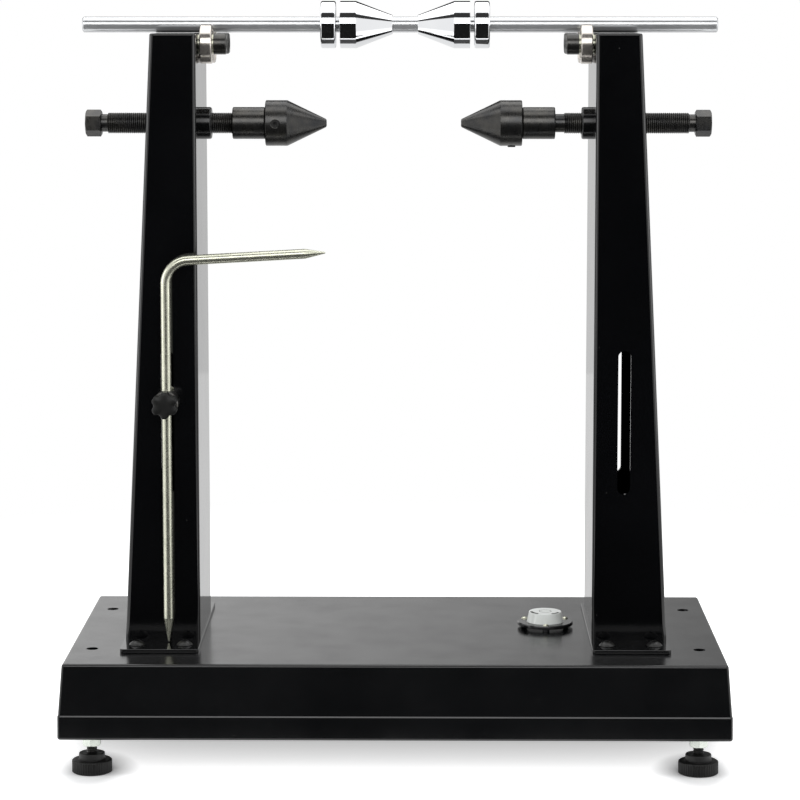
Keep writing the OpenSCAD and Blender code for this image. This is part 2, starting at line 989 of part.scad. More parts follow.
module spindle_screw(side, reach) {
  color(oxide_black)
    at_spindle(side, reach) {
      rotate_extrude()
        polygon(spindle_outline());
      translate([0, 0, -spindle_len])
        intersection() {
          hex_prism(spindle_af, spindle_head);
          rotate_extrude()
            polygon(nut_outline(spindle_af, spindle_head));
        }
    }
}

module left_spindle_screw() {
  spindle_screw(left, left_reach);
}

module right_spindle_screw() {
  spindle_screw(right, right_reach);
}

module sleeve(side, reach, float) {
  r = sleeve_d / 2;
  bore_r = journal_d / 2 + run_fit;
  c = spindle_chamfer;
  color(oxide_black)
    at_spindle(side, reach)
      translate([0, 0, float])
        rotate_extrude()
          polygon([
            [bore_r, 0], [r - c, 0], [r, c], [r, sleeve_len - c], [r - c, sleeve_len], [bore_r, sleeve_len]
          ]);
}

module left_sleeve() {
  sleeve(left, left_reach, left_float);
}

module right_sleeve() {
  sleeve(right, right_reach, right_float);
}

// Moves children to the back of one truing cone
module at_truing_cone(side, reach, float) {
  at_spindle(side, reach)
    translate([0, 0, float + sleeve_len + face_fit])
      children();
}

// The grip screw's direction is an angle about the spindle, from straight up
module truing_cone(side, reach, float, screw_turn) {
  r = truing_d / 2;
  c = spindle_chamfer;
  bore_r = journal_d / 2 + run_fit;
  color(oxide_black)
    at_truing_cone(side, reach, float)
      difference() {
        rotate_extrude()
          polygon([
            [bore_r, 0], [r - c, 0], [r, c], [r, truing_rim], [truing_tip_d / 2, truing_len],
            [0, truing_len], [0, truing_bore], [bore_r, truing_bore]
          ]);
        translate([0, 0, grip_screw_in])
          rotate([0, 0, screw_turn])
            along_x()
              cylinder(d = grip_screw_d + 2 * run_fit, h = truing_d);
      }
}

module cone_screw(side, reach, float, screw_turn, out) {
  tip_r = journal_groove_d / 2 + face_fit;
  color(oxide_black)
    at_truing_cone(side, reach, float)
      translate([0, 0, grip_screw_in])
        rotate([0, 0, screw_turn])
          along_x()
            translate([0, 0, tip_r])
              grub_screw(grip_screw_d, truing_d / 2 - tip_r + out);
}

module left_truing_cone() {
  truing_cone(left, left_reach, left_float, screw_in_front);
}

module left_cone_screw() {
  cone_screw(left, left_reach, left_float, screw_in_front, -left_screw_in);
}

module right_truing_cone() {
  truing_cone(right, right_reach, right_float, screw_below);
}

module right_cone_screw() {
  cone_screw(right, right_reach, right_float, screw_below, right_screw_out);
}

// Moves children onto the clamp's axis in the slot: +Z runs towards the front
module at_clamp(y) {
  translate([-slot_x, y, clamp_z])
    to_front()
      children();
}

module clamp_stud() {
  back = post_d / 2 - post_t - clamp_washer_t - clamp_nut_h - stud_past;
  color(zinc)
    at_clamp(-back)
      cylinder(d = clamp_stud_d, h = -clamp_y - back + clamp_stub);
}

module clamp_washer() {
  color(zinc)
    at_clamp(-post_d / 2 + post_t + face_fit + clamp_washer_t)
      ring(clamp_washer_d, clamp_stud_d + 2 * run_fit, clamp_washer_t);
}

module clamp_nut() {
  color(zinc)
    at_clamp(-post_d / 2 + post_t + face_fit + clamp_washer_t + clamp_nut_h)
      hex_nut(clamp_nut_af, clamp_nut_h, clamp_stud_d + 2 * run_fit);
}

module clamp_body() {
  c = clamp_chamfer;
  r = clamp_d / 2;
  color(oxide_black)
    at_clamp(clamp_y)
      difference() {
        rotate_extrude()
          polygon([[0, 0], [r, 0], [r, clamp_len - c], [r - c, clamp_len], [0, clamp_len]]);
        translate([0, 0, -cut])
          cylinder(d = clamp_stud_d + 2 * run_fit, h = clamp_stub + cut + face_fit);
        translate([0, 0, clamp_rod])
          cylinder(d = knob_screw_d + 2 * run_fit, h = clamp_len);
        translate([0, clamp_d, clamp_rod])
          to_front()
            cylinder(d = rod_d + 2 * run_fit, h = 2 * clamp_d);
      }
}

// Plan of the knob: a hub with round lobes
module knob_plan() {
  lobe_r = knob_d / 2 - knob_lobe_d / 2;
  circle(d = knob_d - knob_lobe_d * knob_waist);
  for (i = [0:knob_lobes - 1])
    rotate(90 + i * 360 / knob_lobes)
      translate([lobe_r, 0])
        circle(d = knob_lobe_d);
}

module clamp_knob() {
  crown = knob_d * knob_crown;
  color(plastic_black)
    at_clamp(knob_back)
      difference() {
        intersection() {
          linear_extrude(knob_h)
            knob_plan();
          translate([0, 0, knob_h - crown])
            sphere(r = crown);
        }
        translate([0, 0, -cut])
          cylinder(d = knob_screw_d, h = knob_h * knob_insert + cut);
      }
}

module knob_screw() {
  tip = clamp_rod + rod_d / 2 + face_fit;
  color(zinc)
    at_clamp(clamp_y)
      translate([0, 0, tip])
        cylinder(d = knob_screw_d, h = clamp_len + face_fit + knob_h * knob_insert - tip);
}

module pointer_rod() {
  r = rod_d / 2;
  core = r * rod_core;
  turn = 90 - arm_rise;
  upright = rod_low + rod_up;
  color(zinc)
    translate([-slot_x, rod_y, clamp_z]) {
      translate([0, 0, -rod_low])
        rotate_extrude()
          polygon([
            [0, 0], [point_d / 2, 0], [r, foot_point], [r, upright], [core, upright], [core, upright + cut],
            [0, upright + cut]
          ]);
      translate([rod_bend, 0, rod_up]) {
        rotate([90, 0, 0])
          rotate([0, 0, 180 - turn])
            rotate_extrude(angle = turn)
              translate([rod_bend, 0])
                circle(r);
        rotate([0, turn - 90, 0])
          translate([0, 0, rod_bend])
            rotate([0, 90, 0])
              rotate_extrude()
                polygon([
                  [0, 0], [r, 0], [r, arm_len - arm_point], [point_d / 2, arm_len], [0, arm_len]
                ]);
      }
    }
}

module level_flange() {
  color(gloss_black)
    difference() {
      union() {
        translate([level_x, level_y, level_z])
          ring(level_d, vial_d, level_t);
        translate([0, 0, base_top])
          at_level_screws()
            cylinder(d = level_foot_d, h = level_foot_h + level_t / 2);
      }
      translate([0, 0, base_top - cut])
        at_level_screws()
          cylinder(d = level_screw_d + 2 * run_fit, h = level_foot_h + level_t + 2 * cut);
    }
}

// Half outline of the vial, from the given height up, moved inwards by its wall where inset is set
function vial_outline(low, inset) = [
  [0, low], [vial_d / 2 - inset, low], [vial_d / 2 - inset, level_t],
  [vial_top_d / 2 - inset, level_t + vial_h - inset], [0, level_t + vial_h - inset]
];

module level_vial() {
  color(clear_acrylic, 0.5)
    translate([level_x, level_y, level_z])
      difference() {
        rotate_extrude()
          polygon(vial_outline(0, 0));
        rotate_extrude()
          polygon(vial_outline(vial_t, vial_t));
      }
}

module level_fluid() {
  bubble_r = (bubble_d * bubble_d / 4 + bubble_h * bubble_h) / (2 * bubble_h);
  color(level_liquid, 0.7)
    translate([level_x, level_y, level_z])
      difference() {
        rotate_extrude()
          polygon(vial_outline(vial_t, vial_t));
        translate([0, 0, level_t + liquid_h - bubble_h + bubble_r])
          sphere(r = bubble_r);
      }
}

module level_screws() {
  grip = level_t + level_foot_h + base_t;
  color(zinc)
    translate([0, 0, level_z + level_t])
      at_level_screws() {
        translate([0, 0, -grip])
          cylinder(d = level_screw_d, h = grip + level_head_h * head_root);
        difference() {
          button_dome(level_head_d, level_head_h);
          translate([-level_head_d, -level_head_d * head_slot / 2, level_head_h * key_floor])
            cube([2 * level_head_d, level_head_d * head_slot, level_head_h]);
        }
      }
}

module foot_lock_nuts() {
  color(zinc)
    translate([0, 0, foot_gap - foot_nut_h])
      at_feet()
        rotate([0, 0, 30])
          hex_nut(foot_nut_af, foot_nut_h, foot_thread_d + 2 * thread_fit);
}

module foot_weld_nuts() {
  color(zinc)
    translate([0, 0, foot_gap + base_t])
      at_feet()
        hex_nut(foot_nut_af, foot_nut_h, foot_thread_d + 2 * thread_fit);
}

module foot_stud(x, y) {
  plain = pad_h + pad_collar_h - pad_floor;
  core = foot_thread_d / 2 - foot_groove;
  color(oxide_black)
    translate([x * foot_x, y * foot_y, pad_floor])
      rotate_extrude()
        polygon(concat(
          [[0, 0], [core, 0], [core, plain]],
          thread_outline(foot_thread_d, foot_pitch, foot_groove, plain, foot_stud_len - plain),
          [[0, foot_stud_len]]
        ));
}

module front_left_stud() {
  foot_stud(left, front);
}

module front_right_stud() {
  foot_stud(right, front);
}

module rear_left_stud() {
  foot_stud(left, rear);
}

module rear_right_stud() {
  foot_stud(right, rear);
}

module foot_pad(x, y) {
  r = pad_d / 2;
  collar_r = pad_collar_d / 2;
  h = pad_h + pad_collar_h;
  bore_r = foot_thread_d / 2 - foot_groove + run_fit;
  c = pad_chamfer;
  bore_low = pad_floor - face_fit;
  color(plastic_black)
    translate([x * foot_x, y * foot_y, 0])
      rotate_extrude()
        polygon([
          [0, 0], [r - c, 0], [r, c], [r, pad_h - c], [r - c, pad_h], [collar_r, pad_h], [collar_r, h - c],
          [collar_r - c, h], [bore_r, h], [bore_r, bore_low], [0, bore_low]
        ]);
}

module front_left_pad() {
  foot_pad(left, front);
}

module front_right_pad() {
  foot_pad(right, front);
}

module rear_left_pad() {
  foot_pad(left, rear);
}

module rear_right_pad() {
  foot_pad(right, rear);
}

base_tray();
left_post();
right_post();
left_foot_plate();
right_foot_plate();
post_bolts();
post_nuts();
left_spindle_bush();
right_spindle_bush();
bearing_screws();
bearing_strips();
bearing_spacers();
bearing_washers();
bearing_inner_rings();
bearing_balls();
left_front_outer_ring();
left_rear_outer_ring();
right_front_outer_ring();
right_rear_outer_ring();
left_front_shields();
left_rear_shields();
right_front_shields();
right_rear_shields();
balance_shaft();
left_balance_cone();
left_lock_collar();
left_collar_screw();
right_balance_cone();
right_lock_collar();
right_collar_screw();
left_spindle_screw();
left_sleeve();
left_truing_cone();
left_cone_screw();
right_spindle_screw();
right_sleeve();
right_truing_cone();
right_cone_screw();
clamp_stud();
clamp_washer();
clamp_nut();
clamp_body();
clamp_knob();
knob_screw();
pointer_rod();
level_flange();
level_vial();
level_fluid();
level_screws();
foot_lock_nuts();
foot_weld_nuts();
front_left_stud();
front_right_stud();
rear_left_stud();
rear_right_stud();
front_left_pad();
front_right_pad();
rear_left_pad();
rear_right_pad();
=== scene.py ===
import bmesh
import bpy
import json
from math import atan2, cos, hypot, pi, radians, sin
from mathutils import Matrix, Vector


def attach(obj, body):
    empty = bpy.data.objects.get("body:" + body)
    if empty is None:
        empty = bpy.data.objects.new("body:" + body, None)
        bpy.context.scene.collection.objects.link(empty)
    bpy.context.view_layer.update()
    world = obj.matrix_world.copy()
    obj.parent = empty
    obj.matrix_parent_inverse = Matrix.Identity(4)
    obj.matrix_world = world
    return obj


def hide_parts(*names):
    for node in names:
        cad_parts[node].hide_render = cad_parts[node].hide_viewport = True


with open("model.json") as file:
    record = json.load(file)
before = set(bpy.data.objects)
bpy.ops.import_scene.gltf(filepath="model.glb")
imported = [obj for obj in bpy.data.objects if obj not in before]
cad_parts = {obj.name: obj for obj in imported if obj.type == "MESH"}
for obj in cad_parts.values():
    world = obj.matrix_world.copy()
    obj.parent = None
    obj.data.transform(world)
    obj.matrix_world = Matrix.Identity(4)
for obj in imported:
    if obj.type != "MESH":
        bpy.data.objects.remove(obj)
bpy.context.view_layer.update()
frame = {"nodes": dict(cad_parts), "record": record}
mm = 0.001
weld = 2e-6
near = 0.1 * mm
hair = 0.01 * mm
alongX = (1, 0, 0)
alongY = (0, 1, 0)
alongZ = (0, 0, 1)
sides = (("left", -1), ("right", 1))
ends = (("front", -1), ("rear", 1))
print("frame loaded,", len(frame["nodes"]), "nodes")


# selection and edit helpers

def upright(edge):
    return abs(edge.verts[0].co.z - edge.verts[1].co.z) > 5 * near


def looksUp(face):
    return face.normal.z > 0.9


def looksDown(face):
    return face.normal.z < -0.9


def leaveAll():
    if bpy.context.mode != "OBJECT":
        bpy.ops.object.mode_set(mode="OBJECT")
    bpy.ops.object.select_all(action="DESELECT")


def pick(piece):
    leaveAll()
    piece.select_set(True)
    bpy.context.view_layer.objects.active = piece


def openEdit(piece):
    pick(piece)
    bpy.ops.object.mode_set(mode="EDIT")


def takeAll(piece):
    openEdit(piece)
    bpy.ops.mesh.select_all(action="SELECT")


def choose(piece, kind, test):
    # selects the verts, edges or faces that pass the test
    bpy.ops.mesh.select_mode(type=kind)
    bpy.ops.mesh.select_all(action="DESELECT")
    shape = bmesh.from_edit_mesh(piece.data)
    for part in {"VERT": shape.verts, "EDGE": shape.edges, "FACE": shape.faces}[kind]:
        if test(part):
            part.select_set(True)
    shape.select_flush_mode()
    bmesh.update_edit_mesh(piece.data)


def nameIt(name):
    piece = bpy.context.object
    piece.name = name
    piece.data.name = name
    return piece


def settle(piece):
    # the place goes into the mesh and the object back to the origin
    pick(piece)
    bpy.ops.object.transform_apply(location=True, rotation=True, scale=True)


def plainBox(name, middle, size):
    leaveAll()
    bpy.ops.mesh.primitive_cube_add(size=mm, location=[c * mm for c in middle], scale=size)
    piece = nameIt(name)
    settle(piece)
    return piece


def standAlong(piece, center, axis):
    # a piece made along Z is turned to the axis and set on center
    piece.rotation_euler = Vector(axis).to_track_quat("Z", "Y").to_euler()
    piece.location = Vector(center) * mm
    settle(piece)


def sliceOff(piece, spot, facing):
    # what lies beyond the plane goes, and the cut is filled
    takeAll(piece)
    bpy.ops.mesh.bisect(plane_co=spot, plane_no=facing, use_fill=True, clear_outer=True)
    leaveAll()


def closeUp(piece):
    takeAll(piece)
    bpy.ops.mesh.remove_doubles(threshold=weld)
    bpy.ops.mesh.normals_make_consistent(inside=False)
    leaveAll()


def roundChosen(width, segments):
    bpy.ops.mesh.bevel(offset=width * mm, segments=segments, affect="EDGES")


def softenEdges(piece, width, angle=25, segments=2):
    openEdit(piece)
    bpy.ops.mesh.select_mode(type="EDGE")
    bpy.ops.mesh.select_all(action="DESELECT")
    bpy.ops.mesh.edges_select_sharp(sharpness=radians(angle))
    roundChosen(width, segments)
    leaveAll()


def useModifier(piece, kind, **settings):
    pick(piece)
    bpy.ops.object.modifier_add(type=kind)
    modifier = piece.modifiers[-1]
    for key, value in settings.items():
        setattr(modifier, key, value)
    bpy.ops.object.modifier_apply(modifier=modifier.name)


def cutAway(piece, cutter, how="DIFFERENCE"):
    useModifier(piece, "BOOLEAN", operation=how, solver="EXACT", object=cutter)
    bpy.data.objects.remove(cutter)


def copyOf(piece, name, shift):
    pick(piece)
    bpy.ops.object.duplicate(linked=False)
    twin = nameIt(name)
    twin.location = Vector(shift) * mm
    settle(twin)
    return twin


def joinUp(name, pieces):
    pick(pieces[0])
    for piece in pieces:
        piece.select_set(True)
    bpy.ops.object.join()
    return nameIt(name)


def drawLine(name, points):
    # one vertex, pulled from point to point
    leaveAll()
    bpy.ops.mesh.primitive_plane_add(size=mm, location=points[0])
    piece = nameIt(name)
    settle(piece)
    openEdit(piece)
    bpy.ops.mesh.select_mode(type="VERT")
    bpy.ops.mesh.select_all(action="SELECT")
    bpy.ops.mesh.merge(type="CENTER")
    bpy.ops.mesh.select_all(action="SELECT")
    for last, point in zip(points, points[1:]):
        step = Vector(point) - Vector(last)
        bpy.ops.mesh.extrude_vertices_move(TRANSFORM_OT_translate={"value": step})
    leaveAll()
    return piece


def turnPiece(name, center, axis, profile, steps=96, soften=0.0, segments=2, sharp=25):
    # profile is (along, radius) in mm, measured from center along the axis
    center = Vector(center) * mm
    axis = Vector(axis)
    across = Vector(alongZ if abs(axis.z) < 0.5 else alongX)
    piece = drawLine(name, [center + axis * a * mm + across * r * mm for a, r in profile])
    takeAll(piece)
    bpy.ops.mesh.spin(steps=steps, angle=2 * pi, center=center, axis=axis)
    leaveAll()
    closeUp(piece)
    if soften:
        softenEdges(piece, soften, sharp, segments)
    return piece


def drillRod(center, axis, radius, length, facets=48):
    # a plain rod for cutting, centred on its length
    leaveAll()
    turn = Vector(axis).to_track_quat("Z", "Y").to_euler()
    bpy.ops.mesh.primitive_cylinder_add(vertices=facets, radius=radius * mm, depth=length * mm,
                                        location=Vector(center) * mm, rotation=turn)
    drill = nameIt("drill")
    settle(drill)
    return drill


hexForm = {"face": 0.965, "slope": 0.577, "spare": 0.01, "steps": 64, "sharp": 20}


def hexBlock(name, center, axis, flats, height, soften=0.0, bore=0.0):
    # a hexagon standing on center along the axis, corners broken as on a nut
    leaveAll()
    corner = flats / 2 / cos(pi / 6)
    bpy.ops.mesh.primitive_cylinder_add(vertices=6, radius=corner * mm, depth=height * mm,
                                        location=(0, 0, height / 2 * mm))
    piece = nameIt(name)
    settle(piece)
    face = flats / 2 * hexForm["face"]
    fall = (corner - face) * hexForm["slope"]
    outer = corner + hexForm["spare"]
    outline = [(0, bore), (0, face), (fall, outer), (height - fall, outer), (height, face), (height, bore)]
    if bore:
        outline.append(outline[0])
    cutAway(piece, turnPiece("lens", (0, 0, 0), alongZ, outline, hexForm["steps"]), "INTERSECT")
    if soften:
        softenEdges(piece, soften, hexForm["sharp"])
    standAlong(piece, center, axis)
    return piece


threadForm = {"lead": 2, "crestFrom": 0.44, "crestTo": 0.56, "spareTurns": 4}


def rollThread(name, center, axis, pitch, root, crest, length, steps=36):
    # one pitch of profile on the screw modifier, both ends cut square
    p, lead = pitch * mm, threadForm["lead"]
    rise = ((root, 0), (crest, threadForm["crestFrom"]), (crest, threadForm["crestTo"]), (root, 1))
    piece = drawLine(name, [(radius * mm, 0, (share - lead) * p) for radius, share in rise])
    useModifier(piece, "SCREW", axis="Z", angle=2 * pi, screw_offset=p, steps=steps, render_steps=steps,
                iterations=int(length / pitch) + threadForm["spareTurns"], use_merge_vertices=False)
    closeUp(piece)
    for height, facing in ((0, -1), (length * mm, 1)):
        sliceOff(piece, (0, 0, height), (0, 0, facing))
    closeUp(piece)
    standAlong(piece, center, axis)
    return piece


# finishes

noiseBand = (0.3, 0.7)
fullWhite = (1, 1, 1, 1)


def startFinish(name):
    finish = bpy.data.materials.new(name)
    finish.use_nodes = True
    tree = finish.node_tree
    spot = tree.nodes.new("ShaderNodeTexCoord").outputs["Object"]
    return finish, tree, tree.nodes["Principled BSDF"], spot


def fillInputs(tree, node, values):
    # an input is set to a value or joined to another node's output
    for key, value in values.items():
        if isinstance(value, bpy.types.NodeSocket):
            tree.links.new(value, node.inputs[key])
        else:
            node.inputs[key].default_value = value


def addNode(tree, kind, values):
    node = tree.nodes.new("ShaderNode" + kind)
    fillInputs(tree, node, values)
    return node


def stretched(tree, spot, scale):
    return addNode(tree, "Mapping", {"Vector": spot, "Scale": scale}).outputs["Vector"]


def cloud(tree, spot, scale, detail=3.0, rough=0.5):
    noise = addNode(tree, "TexNoise", {"Vector": spot, "Scale": scale, "Detail": detail, "Roughness": rough})
    return noise.outputs["Fac"]


def spread(tree, value, low, high, fromLow=noiseBand[0], fromHigh=noiseBand[1]):
    span = addNode(tree, "MapRange", {"Value": value, "From Min": fromLow, "From Max": fromHigh,
                                      "To Min": low, "To Max": high})
    return span.outputs["Result"]


def tones(tree, value, look):
    # from the look's dark to its light colour
    ramp = addNode(tree, "ValToRGB", {"Fac": value})
    for element, place, shade in zip(ramp.color_ramp.elements, noiseBand, ("dark", "light")):
        element.position = place
        element.color = (*look[shade], 1)
    return ramp.outputs["Color"]


def combine(tree, how, a, b=0):
    sums = tree.nodes.new("ShaderNodeMath")
    sums.operation = how
    fillInputs(tree, sums, {0: a, 1: b})
    return sums.outputs["Value"]


def specks(tree, spot, scale, size, share):
    # sparse round grains: the middles of some cells
    cells = addNode(tree, "TexVoronoi", {"Vector": spot, "Scale": scale})
    inside = combine(tree, "LESS_THAN", cells.outputs["Distance"], size)
    split = addNode(tree, "SeparateColor", {"Color": cells.outputs["Color"]})
    return combine(tree, "MULTIPLY", inside, combine(tree, "LESS_THAN", split.outputs["Red"], share))


def raised(tree, shader, height, strength, distance, after=None):
    bump = addNode(tree, "Bump", {"Strength": strength, "Distance": distance * mm, "Height": height})
    if after:
        tree.links.new(after, bump.inputs["Normal"])
    tree.links.new(bump.outputs["Normal"], shader.inputs["Normal"])
    return bump.outputs["Normal"]


paint = {"clouds": 9, "smear": 26, "peel": 620, "dust": 150, "dustSize": 0.045, "dustShare": 0.1,
         "dustColour": (0.04, 0.04, 0.036, 1), "dustDull": 0.3, "dustRise": 0.25, "depth": 0.05, "ior": 1.5}
metal = {"patchTimes": 3, "lineDepth": 0.02, "grainDepth": 0.03}
plasticGrain = {"clouds": 60, "detail": 4, "smear": 140, "depth": 0.04}
clearGrain = {"clouds": 120, "detail": 2, "smear": 220}


def paintFinish(name, look):
    finish, tree, shader, spot = startFinish(name)
    body = tones(tree, cloud(tree, spot, paint["clouds"], detail=4), look)
    dust = specks(tree, spot, paint["dust"], paint["dustSize"], paint["dustShare"])
    mix = tree.nodes.new("ShaderNodeMix")
    mix.data_type = "RGBA"
    # sockets 6 and 7 are the two colours
    fillInputs(tree, mix, {0: dust, 6: body, 7: paint["dustColour"]})
    smear = spread(tree, cloud(tree, spot, paint["smear"], detail=5, rough=0.6), *look["gloss"])
    dull = combine(tree, "MULTIPLY", dust, paint["dustDull"])
    fillInputs(tree, shader, {"Base Color": mix.outputs[2], "Roughness": combine(tree, "ADD", smear, dull),
                              "IOR": paint["ior"]})
    skin = cloud(tree, spot, paint["peel"], detail=2)
    peel = raised(tree, shader, skin, look["peel"], paint["depth"])
    raised(tree, shader, dust, paint["dustRise"], paint["depth"], peel)
    return finish


def metalFinish(name, look):
    finish, tree, shader, spot = startFinish(name)
    colour = tones(tree, cloud(tree, spot, look["blotch"], detail=4, rough=0.6), look)
    lines = cloud(tree, stretched(tree, spot, look["lineScale"]), 1, rough=0.6)
    polish = spread(tree, lines, *look["rough"])
    blotches = cloud(tree, spot, look["blotch"] * metal["patchTimes"])
    patch = spread(tree, blotches, -look["patchy"], look["patchy"])
    fillInputs(tree, shader, {"Base Color": colour, "Roughness": combine(tree, "ADD", polish, patch),
                              "Metallic": look["metal"]})
    tool = raised(tree, shader, lines, look["lineDepth"], metal["lineDepth"])
    if "grain" in look:
        grain = cloud(tree, spot, look["grainScale"], detail=2)
        raised(tree, shader, grain, look["grain"], metal["grainDepth"], tool)
    return finish


def mottle(tree, shader, spot, look, grain):
    # colour and roughness both wander a little
    colour = tones(tree, cloud(tree, spot, grain["clouds"], grain["detail"]), look)
    gloss = spread(tree, cloud(tree, spot, grain["smear"]), *look["rough"])
    fillInputs(tree, shader, {"Base Color": colour, "Roughness": gloss})


def plasticFinish(name, look):
    finish, tree, shader, spot = startFinish(name)
    mottle(tree, shader, spot, look, plasticGrain)
    grain = cloud(tree, spot, look["grainScale"], detail=2)
    raised(tree, shader, grain, look["grain"], plasticGrain["depth"])
    fillInputs(tree, shader, {"Specular IOR Level": look["shine"]})
    return finish


def clearFinish(name, look):
    finish, tree, shader, spot = startFinish(name)
    mottle(tree, shader, spot, look, clearGrain)
    # the emission is painted light: where a look gives a glow, the part glows though it is no lamp
    fillInputs(tree, shader, {"Transmission Weight": look["clear"], "Emission Color": fullWhite,
                              "Emission Strength": look["glow"], "IOR": look["ior"]})
    return finish


blackPaint = paintFinish("blackPaint", {
    "dark": (0.0014, 0.0016, 0.0019), "light": (0.0026, 0.0028, 0.0032), "gloss": (0.165, 0.235),
    "peel": 0.05})
postPaint = paintFinish("postPaint", {
    "dark": (0.001, 0.0011, 0.0014), "light": (0.002, 0.0021, 0.0025), "gloss": (0.08, 0.12),
    "peel": 0.04})
blackOxide = metalFinish("blackOxide", {
    "dark": (0.042, 0.043, 0.045), "light": (0.08, 0.077, 0.071), "blotch": 70, "lineScale": (3200, 7, 7),
    "rough": (0.25, 0.34), "patchy": 0.03, "lineDepth": 0.05, "grain": 0.03, "grainScale": 1500,
    "metal": 0.93})
brightChrome = metalFinish("brightChrome", {
    "dark": (0.8, 0.81, 0.83), "light": (0.86, 0.87, 0.88), "blotch": 20, "lineScale": (2600, 5, 5),
    "rough": (0.03, 0.07), "patchy": 0.01, "lineDepth": 0.012, "metal": 1.0})
bearingSteel = metalFinish("bearingSteel", {
    "dark": (0.56, 0.52, 0.48), "light": (0.66, 0.62, 0.57), "blotch": 60, "lineScale": (4200, 6, 6),
    "rough": (0.17, 0.26), "patchy": 0.02, "lineDepth": 0.03, "metal": 0.9})
groundSteel = metalFinish("groundSteel", {
    "dark": (0.5, 0.51, 0.52), "light": (0.6, 0.61, 0.62), "blotch": 30, "lineScale": (3600, 5, 5),
    "rough": (0.16, 0.24), "patchy": 0.02, "lineDepth": 0.02, "metal": 0.68})
zincPlate = metalFinish("zincPlate", {
    "dark": (0.51, 0.52, 0.42), "light": (0.63, 0.63, 0.52), "blotch": 110, "lineScale": (240, 240, 24),
    "rough": (0.25, 0.31), "patchy": 0.03, "lineDepth": 0.006, "grain": 0.008, "grainScale": 900,
    "metal": 0.94})
nutZinc = metalFinish("nutZinc", {
    "dark": (0.46, 0.49, 0.45), "light": (0.56, 0.59, 0.54), "blotch": 140, "lineScale": (300, 300, 30),
    "rough": (0.26, 0.33), "patchy": 0.03, "lineDepth": 0.012, "grain": 0.02, "grainScale": 900,
    "metal": 0.94})
blackNylon = plasticFinish("blackNylon", {
    "dark": (0.003, 0.003, 0.003), "light": (0.006, 0.006, 0.0055), "rough": (0.38, 0.5), "grain": 0.12,
    "grainScale": 1400, "shine": 0.3})
blackGlossPlastic = plasticFinish("blackGlossPlastic", {
    "dark": (0.008, 0.008, 0.009), "light": (0.013, 0.013, 0.014), "rough": (0.1, 0.18), "grain": 0.02,
    "grainScale": 700, "shine": 0.5})
blackBolt = plasticFinish("blackBolt", {
    "dark": (0.004, 0.004, 0.004), "light": (0.009, 0.009, 0.008), "rough": (0.32, 0.44), "grain": 0.05,
    "grainScale": 1600, "shine": 0.4})
# the acrylic's glow is painted light that lifts the vial's shaded side
clearAcrylic = clearFinish("clearAcrylic", {
    "dark": (0.76, 0.79, 0.76), "light": (0.84, 0.87, 0.84), "rough": (0.05, 0.12), "clear": 0.08,
    "glow": 0.08, "ior": 1.49})
paleSpirit = clearFinish("paleSpirit", {
    "dark": (0.8, 0.86, 0.74), "light": (0.88, 0.92, 0.84), "rough": (0.05, 0.1), "clear": 0.6,
    "glow": 0.0, "ior": 1.36})
whiteBacking = plasticFinish("whiteBacking", {
    "dark": (0.72, 0.74, 0.72), "light": (0.82, 0.83, 0.82), "rough": (0.35, 0.45), "grain": 0.03,
    "grainScale": 800, "shine": 0.5})
# this black serves both the printed ring and the painted dark reflection at the vial's rim
inkAndPaintedShade = plasticFinish("inkAndPaintedShade", {
    "dark": (0.004, 0.004, 0.004), "light": (0.008, 0.008, 0.008), "rough": (0.6, 0.75), "grain": 0.03,
    "grainScale": 800, "shine": 0.0})
finishOf = {
    "painted_black": blackPaint, "black_oxide": blackOxide, "zinc": zincPlate, "bearing_steel": bearingSteel,
    "chrome": brightChrome, "black_plastic": blackNylon, "level_black": blackGlossPlastic,
    "clear_acrylic": clearAcrylic, "level_liquid": paleSpirit}
for part in frame["record"]["subparts"]:
    mesh = frame["nodes"][part["node"]].data
    mesh.materials.clear()
    mesh.materials.append(finishOf[part["material_slot"]])
for node in ("left_cone_screw", "right_cone_screw"):
    frame["nodes"][node].data.materials[0] = blackBolt
print("finishes on the frame")


def dress(piece, body, slot, *nodes, smooth=30, finish=None):
    pick(piece)
    bpy.ops.object.shade_smooth_by_angle(angle=radians(smooth))
    useModifier(piece, "WEIGHTED_NORMAL", keep_sharp=True, weight=80)
    piece.data.materials.clear()
    piece.data.materials.append(finish or finishOf[slot])
    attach(piece, body)
    if nodes:
        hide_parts(*nodes)


# base

pan = {"footWide": 503, "footDeep": 257, "low": 27, "foldLow": 44.6, "foldHigh": 45.6, "top": 84,
       "drawLow": 0.24, "drawHigh": 1.2, "drawTop": 7, "sheet": 2.5, "bend": 2.0, "bendSteps": 8,
       "flange": 28, "holeAcross": 462, "holeAlong": 144, "holeRadius": 4.5, "holeDeep": 12}


def panBlock(name, inset, low, top):
    # the outside of the pan, or its hollow when inset by the sheet
    wide, deep = pan["footWide"] - 2 * inset, pan["footDeep"] - 2 * inset
    piece = plainBox(name, (0, 0, (top + low) / 2), (wide, deep, top - low))
    for height in (pan["foldLow"], pan["foldHigh"]):
        takeAll(piece)
        bpy.ops.mesh.bisect(plane_co=(0, 0, height * mm), plane_no=alongZ)
    draws = ((top, pan["drawTop"]), (pan["foldHigh"], pan["drawHigh"]), (pan["foldLow"], pan["drawLow"]))
    for height, draw in draws:
        choose(piece, "VERT", lambda v: abs(v.co.z - height * mm) < near)
        bpy.ops.transform.resize(value=(1 - draw / wide, 1 - draw / deep, 1), center_override=(0, 0, 0))
    leaveAll()
    return piece


